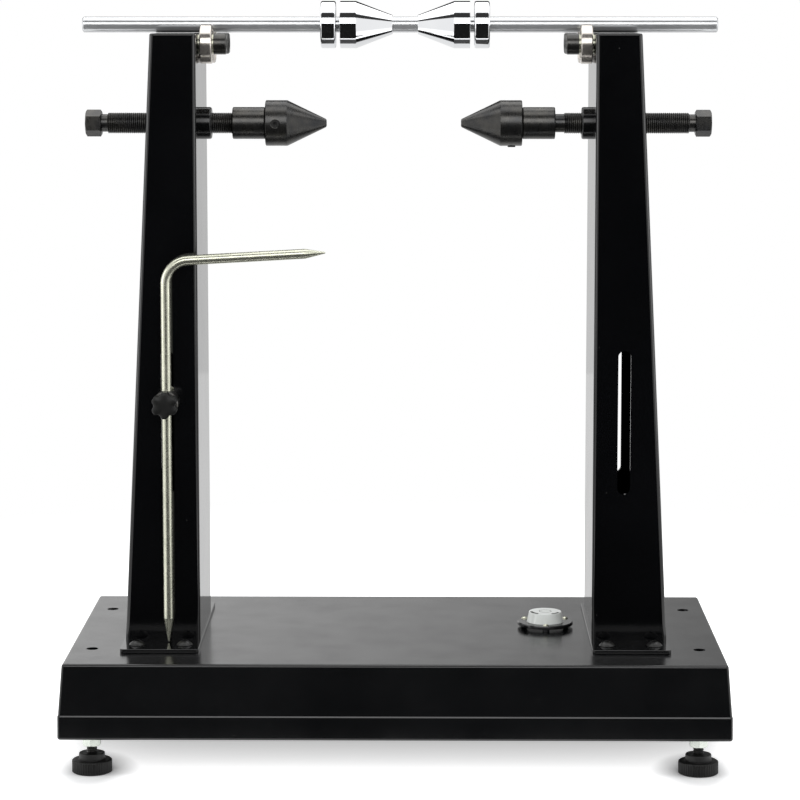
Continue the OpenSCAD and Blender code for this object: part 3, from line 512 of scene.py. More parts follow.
def foldBase():
    piece = panBlock("basePan", 0, pan["low"], pan["top"])
    openEdit(piece)
    rims = (pan["low"] * mm, pan["top"] * mm)
    choose(piece, "EDGE", lambda e: upright(e) or any(abs(e.verts[0].co.z - z) < near for z in rims))
    roundChosen(pan["bend"], pan["bendSteps"])
    closeUp(piece)
    sheet = pan["sheet"]
    cutAway(piece, panBlock("hollow", sheet, pan["low"] + sheet, pan["top"] - sheet))
    wide, deep = pan["footWide"] - 2 * pan["flange"], pan["footDeep"] - 2 * pan["flange"]
    cutAway(piece, plainBox("opening", (0, 0, pan["low"]), (wide, deep, 4 * sheet)))
    for _, x in sides:
        for _, y in ends:
            spot = (x * pan["holeAcross"] / 2, y * pan["holeAlong"] / 2, pan["top"])
            cutAway(piece, drillRod(spot, alongZ, pan["holeRadius"], pan["holeDeep"]))
    dress(piece, "stand", "painted_black", "base_tray", smooth=13)


foldBase()
print("base folded")


# posts and their plates

post = {"inner": 150, "topWide": 34.5, "footWide": 57.5, "deep": 110, "low": 87, "top": 549.4, "sheet": 2.5,
        "bend": 3.4, "bendSteps": 5, "topBend": 1.4, "topSteps": 4, "slotAt": 173.4, "slotLow": 200.7,
        "slotHigh": 310.7, "slotWide": 9.7, "slotSides": 32, "slotDrill": 130, "spindleAt": 480.4,
        "spindleHole": 8.3, "spindleX": 180, "spindleDrill": 100, "screwAt": 541.06, "screwAcross": 30.8,
        "screwHole": 4.3, "screwDrill": 8, "band": 1}


def slotCutter(side):
    # a rod lying front to rear, its upper half pulled up to the slot's other end
    radius = post["slotWide"] / 2
    low, high = post["slotLow"] + radius, post["slotHigh"] - radius
    cutter = drillRod((side * post["slotAt"], 0, low), alongY, radius, post["slotDrill"], post["slotSides"])
    openEdit(cutter)
    choose(cutter, "VERT", lambda v: v.co.z > low * mm + hair)
    bpy.ops.transform.translate(value=(0, 0, (high - low) * mm))
    leaveAll()
    return cutter


def foldPost(word, side):
    tall = post["top"] - post["low"]
    middle = (side * (post["inner"] + post["footWide"] / 2), 0, post["low"] + tall / 2)
    piece = plainBox(word + "Post", middle, (post["footWide"], post["deep"], tall))
    high, outside = (post["top"] - post["band"]) * mm, (post["inner"] + post["band"]) * mm
    openEdit(piece)
    choose(piece, "VERT", lambda v: v.co.z > high and side * v.co.x > outside)
    bpy.ops.transform.translate(value=(-side * (post["footWide"] - post["topWide"]) * mm, 0, 0))
    choose(piece, "EDGE", upright)
    roundChosen(post["bend"], post["bendSteps"])
    choose(piece, "EDGE", lambda e: all(v.co.z > high for v in e.verts))
    roundChosen(post["topBend"], post["topSteps"])
    choose(piece, "FACE", looksDown)
    bpy.ops.mesh.delete(type="FACE")
    closeUp(piece)
    useModifier(piece, "SOLIDIFY", thickness=post["sheet"] * mm, offset=-1, use_even_offset=True)
    cutAway(piece, slotCutter(side))
    spot = (side * post["spindleX"], 0, post["spindleAt"])
    cutAway(piece, drillRod(spot, alongX, post["spindleHole"], post["spindleDrill"]))
    for _, y in ends:
        spot = (side * post["inner"], y * post["screwAcross"] / 2, post["screwAt"])
        cutAway(piece, drillRod(spot, alongX, post["screwHole"], post["screwDrill"]))
    dress(piece, "stand", "painted_black", word + "_post", smooth=24, finish=postPaint)


plate = {"inner": 149, "outer": 208.5, "deep": 175, "low": 84, "top": 87, "corner": 3.0, "steps": 5,
         "edge": 0.5}


def cutPlate(word, side):
    wide = plate["outer"] - plate["inner"]
    middle = (side * (plate["inner"] + wide / 2), 0, (plate["low"] + plate["top"]) / 2)
    piece = plainBox(word + "Plate", middle, (wide, plate["deep"], plate["top"] - plate["low"]))
    openEdit(piece)
    choose(piece, "EDGE", upright)
    roundChosen(plate["corner"], plate["steps"])
    leaveAll()
    softenEdges(piece, plate["edge"], angle=60, segments=3)
    dress(piece, "stand", "painted_black", word + "_foot_plate", smooth=24, finish=postPaint)


bolt = {"head": 12.4, "rise": 3.6, "domeStep": 5.5, "domeSteps": 12, "domeLow": 0.5, "brim": 0.3, "key": 4,
        "keyFrom": 0.45, "keyDeep": 5, "shank": 6, "shankEdge": 0.5, "grip": 12, "seat": 87, "along": 71,
        "across": 18, "middle": 178.75, "soft": 0.15}


def makeBolts():
    r, h, brim = bolt["head"] / 2, bolt["rise"], bolt["brim"]
    shank, edge, grip = bolt["shank"] / 2, bolt["shankEdge"], bolt["grip"]
    ball = (r * r + h * h) / (2 * h)
    turns = [radians(i * bolt["domeStep"]) for i in range(bolt["domeSteps"])]
    dome = [(h - ball + ball * cos(a), ball * sin(a)) for a in turns]
    dome = [point for point in dome if point[0] > bolt["domeLow"]]
    outline = [(-grip, 0), (-grip, shank - edge), (edge - grip, shank), (0, shank), (0, r - brim), (brim, r)]
    seed = turnPiece("boltSeed", (0, 0, bolt["seat"]), alongZ, outline + dome[::-1], steps=48)
    keyAt = (0, 0, bolt["seat"] + h * bolt["keyFrom"])
    cutAway(seed, hexBlock("key", keyAt, alongZ, bolt["key"], bolt["keyDeep"]))
    softenEdges(seed, bolt["soft"], angle=40)
    spots = [(side * (bolt["middle"] + x * bolt["across"]), y * bolt["along"], 0)
             for side in (-1, 1) for x in (-1, 1) for y in (-1, 1)]
    made = [copyOf(seed, "bolt", spot) for spot in spots]
    bpy.data.objects.remove(seed)
    dress(joinUp("postBolts", made), "stand", "black_oxide", "post_bolts", finish=blackBolt)


for word, side in sides:
    foldPost(word, side)
    cutPlate(word, side)
makeBolts()
print("posts and plates set")


# truing spindles

spindle = {"height": 480.4, "thread": 16, "root": 14.8, "pitch": 1.5, "threadLong": 95.4, "neck": 13.5,
           "neckLong": 5, "neckTo": -0.6, "rootFrom": 0.4, "into": 1, "flats": 18, "headLong": 12.3,
           "headSoft": 0.35, "journal": 14, "journalLong": 53, "journalEdge": 0.9, "left": -126.2,
           "right": 128.9}


def arc(along, radius, r, fromDeg, toDeg, count=5):
    # points of a quarter round about (along, radius)
    turns = [radians(fromDeg + (toDeg - fromDeg) * i / count) for i in range(count + 1)]
    return [(along + r * cos(t), radius + r * sin(t)) for t in turns]


def roundedRing(long, radius, bore, r):
    # both outer edges rounded
    edges = arc(r, radius - r, r, 180, 90) + arc(long - r, radius - r, r, 90, 0)
    return [(0, bore)] + edges + [(long, bore), (0, bore)]


def turnSpindle(word, side):
    # measured towards the wheel, from the two ends of the thread
    way = Vector((-side, 0, 0))
    end = Vector((spindle[word], 0, spindle["height"]))
    start = end - way * spindle["threadLong"]
    root, neck, pin = spindle["root"] / 2, spindle["neck"] / 2, spindle["journal"] / 2
    into, edge, long = spindle["into"], spindle["journalEdge"], spindle["journalLong"]
    first = -spindle["neckLong"] - into
    thread = rollThread("thread", start, way, spindle["pitch"], root, spindle["thread"] / 2,
                        spindle["threadLong"])
    relief = turnPiece("neck", start, way, [(first, 0), (first, neck), (spindle["neckTo"], neck),
                                            (spindle["rootFrom"], root), (into, root), (into, 0)], steps=64)
    outline = [(-into, 0), (-into, pin), (long - edge, pin), (long, pin - edge), (long, 0)]
    journal = turnPiece("journal", end, way, outline, steps=64)
    headAt = end - way * (spindle["threadLong"] + spindle["neckLong"] + spindle["headLong"])
    head = hexBlock("head", headAt, way, spindle["flats"], spindle["headLong"], spindle["headSoft"])
    piece = joinUp(word + "Spindle", [thread, relief, journal, head])
    dress(piece, word + "_spindle", "black_oxide", word + "_spindle_screw", smooth=32)


bush = {"radius": 12.3, "bore": 8.1, "long": 8, "round": 1.5, "boreEdge": 0.8, "post": 150}


def turnBush(word, side):
    r, radius, bore, long, edge = bush["round"], bush["radius"], bush["bore"], bush["long"], bush["boreEdge"]
    outline = [(0, bore), (0, radius)] + arc(long - r, radius - r, r, 90, 0)
    outline += [(long, bore + edge), (long - edge, bore), (0, bore)]
    start = (side * bush["post"], 0, spindle["height"])
    piece = turnPiece(word + "Bush", start, (-side, 0, 0), outline, steps=72)
    dress(piece, "stand", "painted_black", word + "_spindle_bush", smooth=35)


sleeve = {"radius": 12.25, "bore": 7.05, "long": 25, "edge": 0.9, "leftFloat": 0.3, "rightFloat": 7.2}


def turnSleeve(word, side):
    # gives back where the sleeve starts
    way = Vector((-side, 0, 0))
    start = Vector((spindle[word], 0, spindle["height"])) + way * sleeve[word + "Float"]
    outline = roundedRing(sleeve["long"], sleeve["radius"], sleeve["bore"], sleeve["edge"])
    piece = turnPiece(word + "Sleeve", start, way, outline)
    dress(piece, word + "_slide", "black_oxide", word + "_sleeve", smooth=35)
    return start


truing = {"radius": 17.5, "bore": 7.05, "rim": 16.7, "rimRound": 0.3, "rimFall": 0.14, "taper": 30.2,
          "tip": 3.0, "tipRound": ((-0.8, 0.35), (-0.2, -0.15), (0, -0.8)), "boreDeep": 30, "gap": 0.3,
          "edge": 0.9, "screwIn": 8, "screwHole": 3.05, "holeFrom": 5, "sinkIn": 0.7, "sinkOut": 0.4,
          "sinkWide": 1.1, "spare": 3}


def turnTruingCone(word, side, sleeveStart):
    way = Vector((-side, 0, 0))
    back = sleeveStart + way * (sleeve["long"] + truing["gap"])
    e, r, bore, deep = truing["edge"], truing["radius"], truing["bore"], truing["boreDeep"]
    rim = truing["rim"]
    long = rim + truing["taper"]
    outline = [(0, bore)] + arc(e, r - e, e, 180, 90)
    outline += [(rim - truing["rimRound"], r), (rim + truing["rimRound"], r - truing["rimFall"])]
    outline += [(long + along, truing["tip"] + out) for along, out in truing["tipRound"]]
    outline += [(long, 0), (deep, 0), (deep, bore), (0, bore)]
    piece = turnPiece(word + "TruingCone", back, way, outline)
    hole, low, top = truing["screwHole"], truing["holeFrom"], r + truing["spare"]
    sink = hole + truing["sinkWide"]
    toward = (0, -1, 0) if side < 0 else (0, 0, -1)
    drill = turnPiece("drill", back + way * truing["screwIn"], toward,
                      [(low, 0), (low, hole), (r - truing["sinkIn"], hole), (r + truing["sinkOut"], sink),
                       (top, sink), (top, 0)], steps=48)
    cutAway(piece, drill)
    dress(piece, word + "_truing", "black_oxide", word + "_truing_cone", smooth=28)


for word, side in sides:
    turnSpindle(word, side)
    turnBush(word, side)
    turnTruingCone(word, side, turnSleeve(word, side))
print("truing spindles turned")


# balance shaft and cradles

shaft = {"height": 555.6, "left": -240.5, "right": 245.5, "radius": 6, "edge": 1.0, "soft": 0.2}


def makeShaft():
    e, r = shaft["edge"], shaft["radius"]
    long = shaft["right"] - shaft["left"]
    outline = [(0, 0), (0, r - e), (e, r), (long - e, r), (long, r - e), (long, 0)]
    piece = turnPiece("balanceShaft", (shaft["left"], 0, shaft["height"]), alongX, outline, 96, shaft["soft"])
    dress(piece, "shaft", "chrome", "balance_shaft", smooth=35, finish=groundSteel)


cone = {"middle": 6.6, "apart": 19.3, "taper": 27.8, "rim": 12.2, "radius": 18, "bore": 6.05, "wall": 1.2,
        "soft": 0.35, "sharp": 15, "collarGap": 3.2, "collarWide": 11.8, "collarRound": 1.5,
        "screwHole": 3.05, "screwAt": 14, "screwDrill": 22}


def makeConeSet(word, side):
    nose = Vector((cone["middle"] + side * cone["apart"] / 2, 0, shaft["height"]))
    way = Vector((side, 0, 0))
    radius, bore = cone["radius"], cone["bore"]
    long = cone["taper"] + cone["rim"]
    outline = [(0, bore), (0, bore + cone["wall"]), (cone["taper"], radius), (long, radius), (long, bore),
               (0, bore)]
    piece = turnPiece(word + "BalanceCone", nose, way, outline, 128, cone["soft"], 3, cone["sharp"])
    dress(piece, word + "_cone_set", "chrome", word + "_balance_cone", smooth=28)
    wide = cone["collarWide"]
    start = nose + way * (long + cone["collarGap"])
    outline = roundedRing(wide, radius, bore, cone["collarRound"])
    piece = turnPiece(word + "LockCollar", start, way, outline, steps=128)
    place = start + way * wide / 2 + Vector((0, cone["screwAt"], 0))
    cutAway(piece, drillRod(place, alongY, cone["screwHole"], cone["screwDrill"]))
    dress(piece, word + "_cone_set", "chrome", word + "_lock_collar", smooth=35)


bearing = {"inner": 150, "spacer": 1, "wide": 9, "outer": 15, "wall": 2.8, "edge": 0.7, "soft": 0.25,
           "across": 15.4, "height": 541.06}
cap = {"head": 8, "headLong": 10, "key": 8, "keyFrom": 4.5, "keyDeep": 8, "brim": 0.3, "edge": 0.96,
       "soft": 0.18, "shoulder": 5, "seat": 11, "tail": 4, "tailLong": 12.5}


def makeCradle():
    e, w, rim = bearing["edge"], bearing["wide"], bearing["outer"]
    hole = rim - bearing["wall"]
    ringLine = [(0, hole), (0, rim - e), (e, rim), (w - e, rim), (w, rim - e), (w, hole), (0, hole)]
    seat, head, brim = cap["seat"], cap["head"], cap["brim"]
    top = seat + cap["headLong"]
    screwLine = [(-cap["tailLong"], 0), (-cap["tailLong"], cap["tail"]), (0, cap["tail"]),
                 (0, cap["shoulder"]), (seat, cap["shoulder"]), (seat, head - brim), (seat + brim, head),
                 (top - cap["edge"], head), (top, head - cap["edge"]), (top, 0)]
    screws = []
    for word, side in sides:
        for end, y in ends:
            wall = Vector((side * bearing["inner"], y * bearing["across"], bearing["height"]))
            way = Vector((-side, 0, 0))
            ring = turnPiece(word + end.capitalize() + "Ring", wall + way * bearing["spacer"], way, ringLine,
                             96, bearing["soft"], 3)
            dress(ring, f"{word}_{end}_bearing", "bearing_steel", f"{word}_{end}_outer_ring", smooth=35)
            screw = turnPiece("screw", wall, way, screwLine, 72, cap["soft"])
            keyAt = wall + way * (seat + cap["keyFrom"])
            cutAway(screw, hexBlock("key", keyAt, way, cap["key"], cap["keyDeep"]))
            screws.append(screw)
    dress(joinUp("bearingScrews", screws), "stand", "black_oxide", "bearing_screws", smooth=35)


makeShaft()
for word, side in sides:
    makeConeSet(word, side)
makeCradle()
print("shaft laid in its cradles")


# pointer

rod = {"x": -173.4, "y": -62.3, "low": 87.8, "bendAt": 362, "bend": 18, "bendSteps": 20, "rise": 3.2,
       "arm": 103.7, "armPoint": 15.4, "footPoint": 18, "radius": 3.75, "tip": 0.6, "sides": 64}


def pullOn(spot, way, length, factor):
    # extrudes the chosen end face, resizes it and gives back its new middle
    spot = spot + way * length * mm
    bpy.ops.mesh.extrude_region_move(TRANSFORM_OT_translate={"value": way * length * mm})
    bpy.ops.transform.resize(value=(factor, factor, factor), center_override=spot)
    return spot


def bendRod():
    leaveAll()
    spot = Vector((rod["x"] * mm, rod["y"] * mm, rod["low"] * mm))
    bpy.ops.mesh.primitive_circle_add(vertices=rod["sides"], radius=rod["tip"] * mm, fill_type="NGON",
                                      location=spot)
    piece = nameIt("pointerRod")
    settle(piece)
    takeAll(piece)
    bpy.ops.mesh.select_mode(type="FACE")
    grow = rod["radius"] / rod["tip"]
    up = Vector(alongZ)
    spot = pullOn(spot, up, rod["footPoint"], grow)
    pullOn(spot, up, rod["bendAt"] - rod["low"] - rod["footPoint"], 1)
    rise = radians(rod["rise"])
    hub = Vector(((rod["x"] + rod["bend"]) * mm, rod["y"] * mm, rod["bendAt"] * mm))
    bpy.ops.mesh.spin(steps=rod["bendSteps"], angle=pi / 2 - rise, center=hub, axis=(0, -1, 0))
    way = Vector((cos(rise), 0, sin(rise)))
    spot = hub + Vector((-sin(rise), 0, cos(rise))) * rod["bend"] * mm
    spot = pullOn(spot, way, rod["arm"] - rod["armPoint"], 1)
    pullOn(spot, way, rod["armPoint"], 1 / grow)
    leaveAll()
    closeUp(piece)
    dress(piece, "pointer", "zinc", "pointer_rod", smooth=8)


clamp = {"x": -173.4, "height": 272, "rear": -55.3, "long": 16, "radius": 9.5, "edge": 1.0, "brim": 0.3,
         "soft": 0.15, "rodGap": 0.05, "rodDrill": 40, "stub": 4.05, "stubDeep": 3, "screw": 2.55,
         "screwDrill": 14}


def makeClamp():
    x, rear, z = clamp["x"], clamp["rear"], clamp["height"]
    e, r, long, brim = clamp["edge"], clamp["radius"], clamp["long"], clamp["brim"]
    outline = [(0, 0), (0, r - brim), (brim, r), (long - e, r), (long, r - e), (long, 0)]
    piece = turnPiece("clampBody", (x, rear, z), (0, -1, 0), outline, 72, clamp["soft"])
    cutAway(piece, drillRod((x, rod["y"], z), alongZ, rod["radius"] + clamp["rodGap"], clamp["rodDrill"]))
    cutAway(piece, drillRod((x, rear, z), alongY, clamp["stub"], 2 * clamp["stubDeep"]))
    cutAway(piece, drillRod((x, rear - long, z), alongY, clamp["screw"], clamp["screwDrill"]))
    dress(piece, "pointer_clamp", "black_oxide", "clamp_body", smooth=35)


knob = {"rear": -71.6, "radius": 10.3, "sides": 24, "waist": 0.7, "deep": 12, "rim": 0.9, "face": 1.6,
        "crown": 0.5}


def makeKnob():
    # four sides to a lobe, the corner between lobes drawn in, then smoothed
    leaveAll()
    deep, rim = knob["deep"] * mm, knob["rim"] * mm
    bpy.ops.mesh.primitive_cylinder_add(vertices=knob["sides"], radius=knob["radius"] * mm, depth=deep,
                                        location=(0, 0, deep / 2))
    piece = nameIt("clampKnob")
    settle(piece)
    openEdit(piece)
    step = 2 * pi / knob["sides"]
    choose(piece, "VERT", lambda v: round(atan2(v.co.x, v.co.y) / step) % 4 == 2)
    bpy.ops.transform.resize(value=(knob["waist"], knob["waist"], 1), center_override=(0, 0, 0))
    choose(piece, "FACE", looksDown)
    bpy.ops.mesh.inset(thickness=rim)
    choose(piece, "FACE", looksUp)
    bpy.ops.mesh.inset(thickness=rim, depth=rim / 2)
    bpy.ops.mesh.inset(thickness=knob["face"] * mm, depth=knob["crown"] * mm)
    choose(piece, "EDGE", lambda e: all(abs(v.co.z - deep) < near / 2 for v in e.verts)
           or all(v.co.z < hair for v in e.verts) and e.calc_face_angle(0) > radians(60))
    roundChosen(knob["rim"] / 2, 2)
    leaveAll()
    useModifier(piece, "SUBSURF", levels=3, render_levels=3)
    piece.scale = (1, 1, knob["deep"] / (knob["deep"] + knob["rim"] / 2 + knob["crown"]))
    settle(piece)
    piece.rotation_euler = (pi / 2, 0, 0)
    piece.location = (clamp["x"] * mm, knob["rear"] * mm, clamp["height"] * mm)
    settle(piece)
    dress(piece, "knob", "black_plastic", "clamp_knob", smooth=50)


bendRod()
makeClamp()
makeKnob()
print("pointer bent and clamped")


# bubble level

level = {"thick": 2.6, "radius": 21.75, "bore": 14.5, "soleEdge": 0.3, "rimEdge": 0.7, "boreEdge": 0.4,
         "screwCircle": 18.5, "hole": 1.3, "holeDrill": 8, "holeSides": 24, "leg": 2.75, "legLong": 2,
         "legEdge": 0.2, "legIn": 0.3}
levelAt = Vector((117, 9.5, 86))


def makeFlange():
    t, r, bore = level["thick"], level["radius"], level["bore"]
    sole, rim, lip = level["soleEdge"], level["rimEdge"], level["boreEdge"]
    flange = turnPiece("levelFlange", levelAt, alongZ,
                       [(0, bore), (0, r - sole), (sole, r), (t - rim, r), (t, r - rim), (t, bore + lip),
                        (t - lip, bore), (0, bore)])
    turns = [radians(-90 + 120 * i) for i in range(3)]
    spots = [Vector((cos(a), sin(a), 0)) * level["screwCircle"] for a in turns]
    hole, leg, low = level["hole"], level["leg"], -level["legLong"]
    edge, into = level["legEdge"], level["legIn"]
    for spot in spots:
        drillAt = levelAt + spot + Vector((0, 0, t / 2))
        cutAway(flange, drillRod(drillAt, alongZ, hole, level["holeDrill"], level["holeSides"]))
    legLine = [(low, hole), (low, leg - edge), (low + edge, leg), (into, leg), (into, hole), (low, hole)]
    legs = [turnPiece("leg", levelAt + spot, alongZ, legLine, steps=32) for spot in spots]
    dress(joinUp("levelFlange", [flange] + legs), "stand", "level_black", "level_flange", smooth=35)


vial = {"low": 14.5, "top": 12.8, "high": 7.8, "wall": 1.6, "round": 0.5, "sideGap": 0.02, "topGap": 0.06,
        "hollowEdge": (0.6, 0.7)}
backing = {"lift": 0.05, "gap": 0.1, "thick": 0.5, "edge": (0.05, 0.5)}


def makeVial():
    t, wall, r = level["thick"], vial["wall"], vial["round"]
    low, top, high = vial["low"], vial["top"], level["thick"] + vial["high"]
    side, crown = low - vial["sideGap"], high - vial["topGap"]
    outline = [(0, 0), (0, side), (t, side)] + arc(crown - r, top - r, r, 80, 0, 4) + [(crown, 0)]
    shell = turnPiece("levelVial", levelAt, alongZ, outline)
    roof = high - wall
    drop, draw = vial["hollowEdge"]
    hollow = turnPiece("hollow", levelAt, alongZ,
                       [(wall, 0), (wall, low - wall), (t, low - wall), (roof - drop, top - wall),
                        (roof, top - wall - draw), (roof, 0)])
    takeAll(hollow)
    bpy.ops.mesh.flip_normals()
    leaveAll()
    dress(joinUp("levelVial", [shell, hollow]), "stand", "clear_acrylic", "level_vial")
    floor, rim = wall + backing["lift"], low - wall - backing["gap"]
    over, draw = backing["edge"]
    face = wall + backing["thick"]
    outline = [(floor, 0), (floor, rim), (face, rim), (face + over, rim - draw), (face + over, 0)]
    disc = turnPiece("levelBacking", levelAt, alongZ, outline, steps=64)
    dress(disc, "stand", "level_liquid", finish=whiteBacking)


# the middle ring is printed ink; the arcs near the rim are painted dark reflection of the surroundings in the
# acrylic's rim
ringInkAndArcShade = {"ring": 4.7, "ringWide": 0.35, "paintedDarkArc": 11.1, "paintedDarkArcSpans": ((187, 238, 2.2), (294, 336, 1.7)),
       "deep": 0.1, "under": 0.002}


def thinDarkRing(radius, wide):
    # a thin dark line just under the top of the vial: printed ink for the middle ring, painted dark
    # reflection for the arcs at the rim
    inner, outer = radius - wide / 2, radius + wide / 2
    high = level["thick"] + vial["high"]
    low, top = high - ringInkAndArcShade["deep"], high - ringInkAndArcShade["under"]
    outline = [(low, inner), (low, outer), (top, outer), (top, inner), (low, inner)]
    return turnPiece("print", levelAt, alongZ, outline)


def addInkRingAndPaintedArcs():
    inkRingAndPaintedArcs = [thinDarkRing(ringInkAndArcShade["ring"], ringInkAndArcShade["ringWide"])]
    # the arcs cut from the outer ring are painted dark reflection, not print
    for fromDeg, toDeg, wide in ringInkAndArcShade["paintedDarkArcSpans"]:
        paintedDarkArc = thinDarkRing(ringInkAndArcShade["paintedDarkArc"], wide)
        for turn, facing in ((fromDeg, -1), (toDeg, 1)):
            across = Vector((-sin(radians(turn)), cos(radians(turn)), 0)) * facing
            sliceOff(paintedDarkArc, levelAt * mm, across)
        inkRingAndPaintedArcs.append(paintedDarkArc)
    dress(joinUp("levelInkAndPaintedShade", inkRingAndPaintedArcs), "stand", "level_black", finish=inkAndPaintedShade)


makeFlange()
makeVial()
addInkRingAndPaintedArcs()
print("level set")


# levelling feet

foot = {"across": 227, "along": 116}
pad = {"radius": 14.98, "high": 10, "collar": 9.75, "top": 15, "bore": 3.55, "floor": 3.7, "ribs": 48,
       "flute": 0.962, "fluteEdge": 0.5, "sole": ((0, 2.2), (0.25, 1.0), (0.8, 0)),
       "shoulder": ((0.8, 0), (0.2, 0.8), (0, 1.6)), "root": ((0, 0.5), (0.4, 0.1)),
       "crown": ((0.7, 0), (0.15, 0.3), (0, 0.9))}


def turnPad():
    # corners are distances from the sharp point, and two of a rib's four steps are drawn in
    r, h, collar, top = pad["radius"], pad["high"], pad["collar"], pad["top"]
    outline = [(0, 0)] + [(a, r - b) for a, b in pad["sole"]] + [(h - a, r - b) for a, b in pad["shoulder"]]
    outline += [(h + a, collar + b) for a, b in pad["root"]]
    outline += [(top - a, collar - b) for a, b in pad["crown"]]
    outline += [(top, pad["bore"]), (pad["floor"], pad["bore"]), (pad["floor"], 0)]
    seed = turnPiece("padSeed", (0, 0, 0), alongZ, outline, pad["ribs"] * 4)
    step = 2 * pi / (pad["ribs"] * 4)
    edge = pad["fluteEdge"]
    openEdit(seed)
    choose(seed, "VERT", lambda v: edge * mm < v.co.z < (h - edge) * mm
           and hypot(v.co.x, v.co.y) > (r - edge) * mm and round(atan2(v.co.y, v.co.x) / step) % 4 in (2, 3))
    bpy.ops.transform.resize(value=(pad["flute"], pad["flute"], 1), center_override=(0, 0, 0))
    leaveAll()
    return seed


stud = {"thread": 4, "root": 3.4, "pitch": 1.25, "low": 4, "high": 50, "overlap": 0.5, "coreSpare": 0.05}


def turnStud():
    start = pad["top"] - stud["overlap"]
    thread = rollThread("threadSeed", (0, 0, start), alongZ, stud["pitch"], stud["root"], stud["thread"],
                        stud["high"] - pad["top"] + stud["overlap"], steps=28)
    plain, thin = pad["top"] - stud["low"], stud["root"] + stud["coreSpare"]
    outline = [(0, 0), (0, thin), (plain, thin), (plain, 0)]
    core = turnPiece("core", (0, 0, stud["low"]), alongZ, outline, steps=32)
    return joinUp("studSeed", [thread, core])


lockNut = {"flats": 13, "high": 6.5, "low": 20.5, "soft": 0.15, "gap": 0.1}


def makeFeet():
    padSeed = turnPad()
    studSeed = turnStud()
    nutSeed = hexBlock("nutSeed", (0, 0, lockNut["low"]), alongZ, lockNut["flats"], lockNut["high"],
                       lockNut["soft"], stud["thread"] + lockNut["gap"])
    nuts = []
    for end, y in ends:
        for word, x in sides:
            spot = (x * foot["across"], y * foot["along"], 0)
            name, label = f"{end}_{word}", end + word.capitalize()
            piece = copyOf(padSeed, label + "Pad", spot)
            dress(piece, name + "_tread", "black_plastic", name + "_pad", smooth=40)
            piece = copyOf(studSeed, label + "Stud", spot)
            dress(piece, name + "_foot", "black_oxide", name + "_stud", smooth=32)
            nuts.append(copyOf(nutSeed, "nut", spot))
    dress(joinUp("footLockNuts", nuts), "stand", "zinc", "foot_lock_nuts", smooth=25, finish=nutZinc)
    for seed in (padSeed, studSeed, nutSeed):
        bpy.data.objects.remove(seed)


makeFeet()
print("feet screwed in")


# studio

# glowUnder and padGlow give the floor a painted shadow under the base and around the feet
ground = {"half": 5.0, "tone": 0.92, "rough": 0.9, "fadeFrom": 0.5, "fadeTo": 1.05, "glowUnder": 0.4,
          "glowOpen": 0.85, "underFrom": 0.0, "underTo": 0.12, "padGlow": 0.1, "padFrom": 0.03,
          "padTo": 0.075, "padNarrow": 2.0}


def floorGlow(tree, spot):
    # less glow under the base and around the feet: a painted shadow there, to which the lamps' real shadows
    # add
    split = addNode(tree, "SeparateXYZ", {0: spot})
    away = combine(tree, "ABSOLUTE", split.outputs["Y"])
    openGlow = ground["glowOpen"]
    glow = spread(tree, away, ground["glowUnder"], openGlow, ground["underFrom"], ground["underTo"])
    aside = combine(tree, "ABSOLUTE", split.outputs["X"])
    aside = combine(tree, "SUBTRACT", aside, foot["across"] * mm)
    aside = combine(tree, "MULTIPLY", aside, ground["padNarrow"])
    along = combine(tree, "SUBTRACT", away, foot["along"] * mm)
    squares = [combine(tree, "MULTIPLY", leg, leg) for leg in (aside, along)]
    reach = combine(tree, "SQRT", combine(tree, "ADD", *squares))
    padGlow = spread(tree, reach, ground["padGlow"], openGlow, ground["padFrom"], ground["padTo"])
    return combine(tree, "MINIMUM", glow, padGlow)


def mixShaders(tree, share, under, over, end):
    mix = addNode(tree, "MixShader", {0: share, 1: under.outputs[0], 2: over.outputs[0]})
    fillInputs(tree, tree.nodes[end], {"Surface": mix.outputs[0]})


def makeFloor():
    leaveAll()
    bpy.ops.mesh.primitive_plane_add(size=2 * ground["half"], location=(0, 0, 0))
    floor = nameIt("floor")
    finish, tree, shader, spot = startFinish("floorFinish")
    tone = ground["tone"]
    fillInputs(tree, shader, {"Base Color": (tone, tone, tone, 1), "Roughness": ground["rough"],
                              "Specular IOR Level": 0.0, "Emission Color": fullWhite,
                              "Emission Strength": floorGlow(tree, spot)})
    reach = tree.nodes.new("ShaderNodeVectorMath")
    reach.operation = "LENGTH"
    fillInputs(tree, reach, {0: spot})
    fade = spread(tree, reach.outputs["Value"], 0, 1, ground["fadeFrom"], ground["fadeTo"])
    mixShaders(tree, fade, shader, addNode(tree, "Emission", {"Color": fullWhite}), "Material Output")
    floor.data.materials.append(finish)


sky = {"colour": (0.97, 0.985, 1.0, 1), "fill": 0.55}


def makeWorld():
    # white to the camera, to mirrors and through glass, a soft fill to all else
    world = bpy.data.worlds.new("studioWorld")
    bpy.context.scene.world = world
    world.use_nodes = True
    tree = world.node_tree
    fill = tree.nodes["Background"]
    fillInputs(tree, fill, {"Color": sky["colour"], "Strength": sky["fill"]})
    white = addNode(tree, "Background", {"Color": fullWhite})
    path = tree.nodes.new("ShaderNodeLightPath").outputs
    seen = combine(tree, "MAXIMUM", path["Is Camera Ray"], path["Is Glossy Ray"])
    seen = combine(tree, "MAXIMUM", seen, path["Is Transmission Ray"])
    mixShaders(tree, seen, fill, white, "World Output")


def addObject(name, data):
    thing = bpy.data.objects.new(name, data)
    bpy.context.scene.collection.objects.link(thing)
    return thing


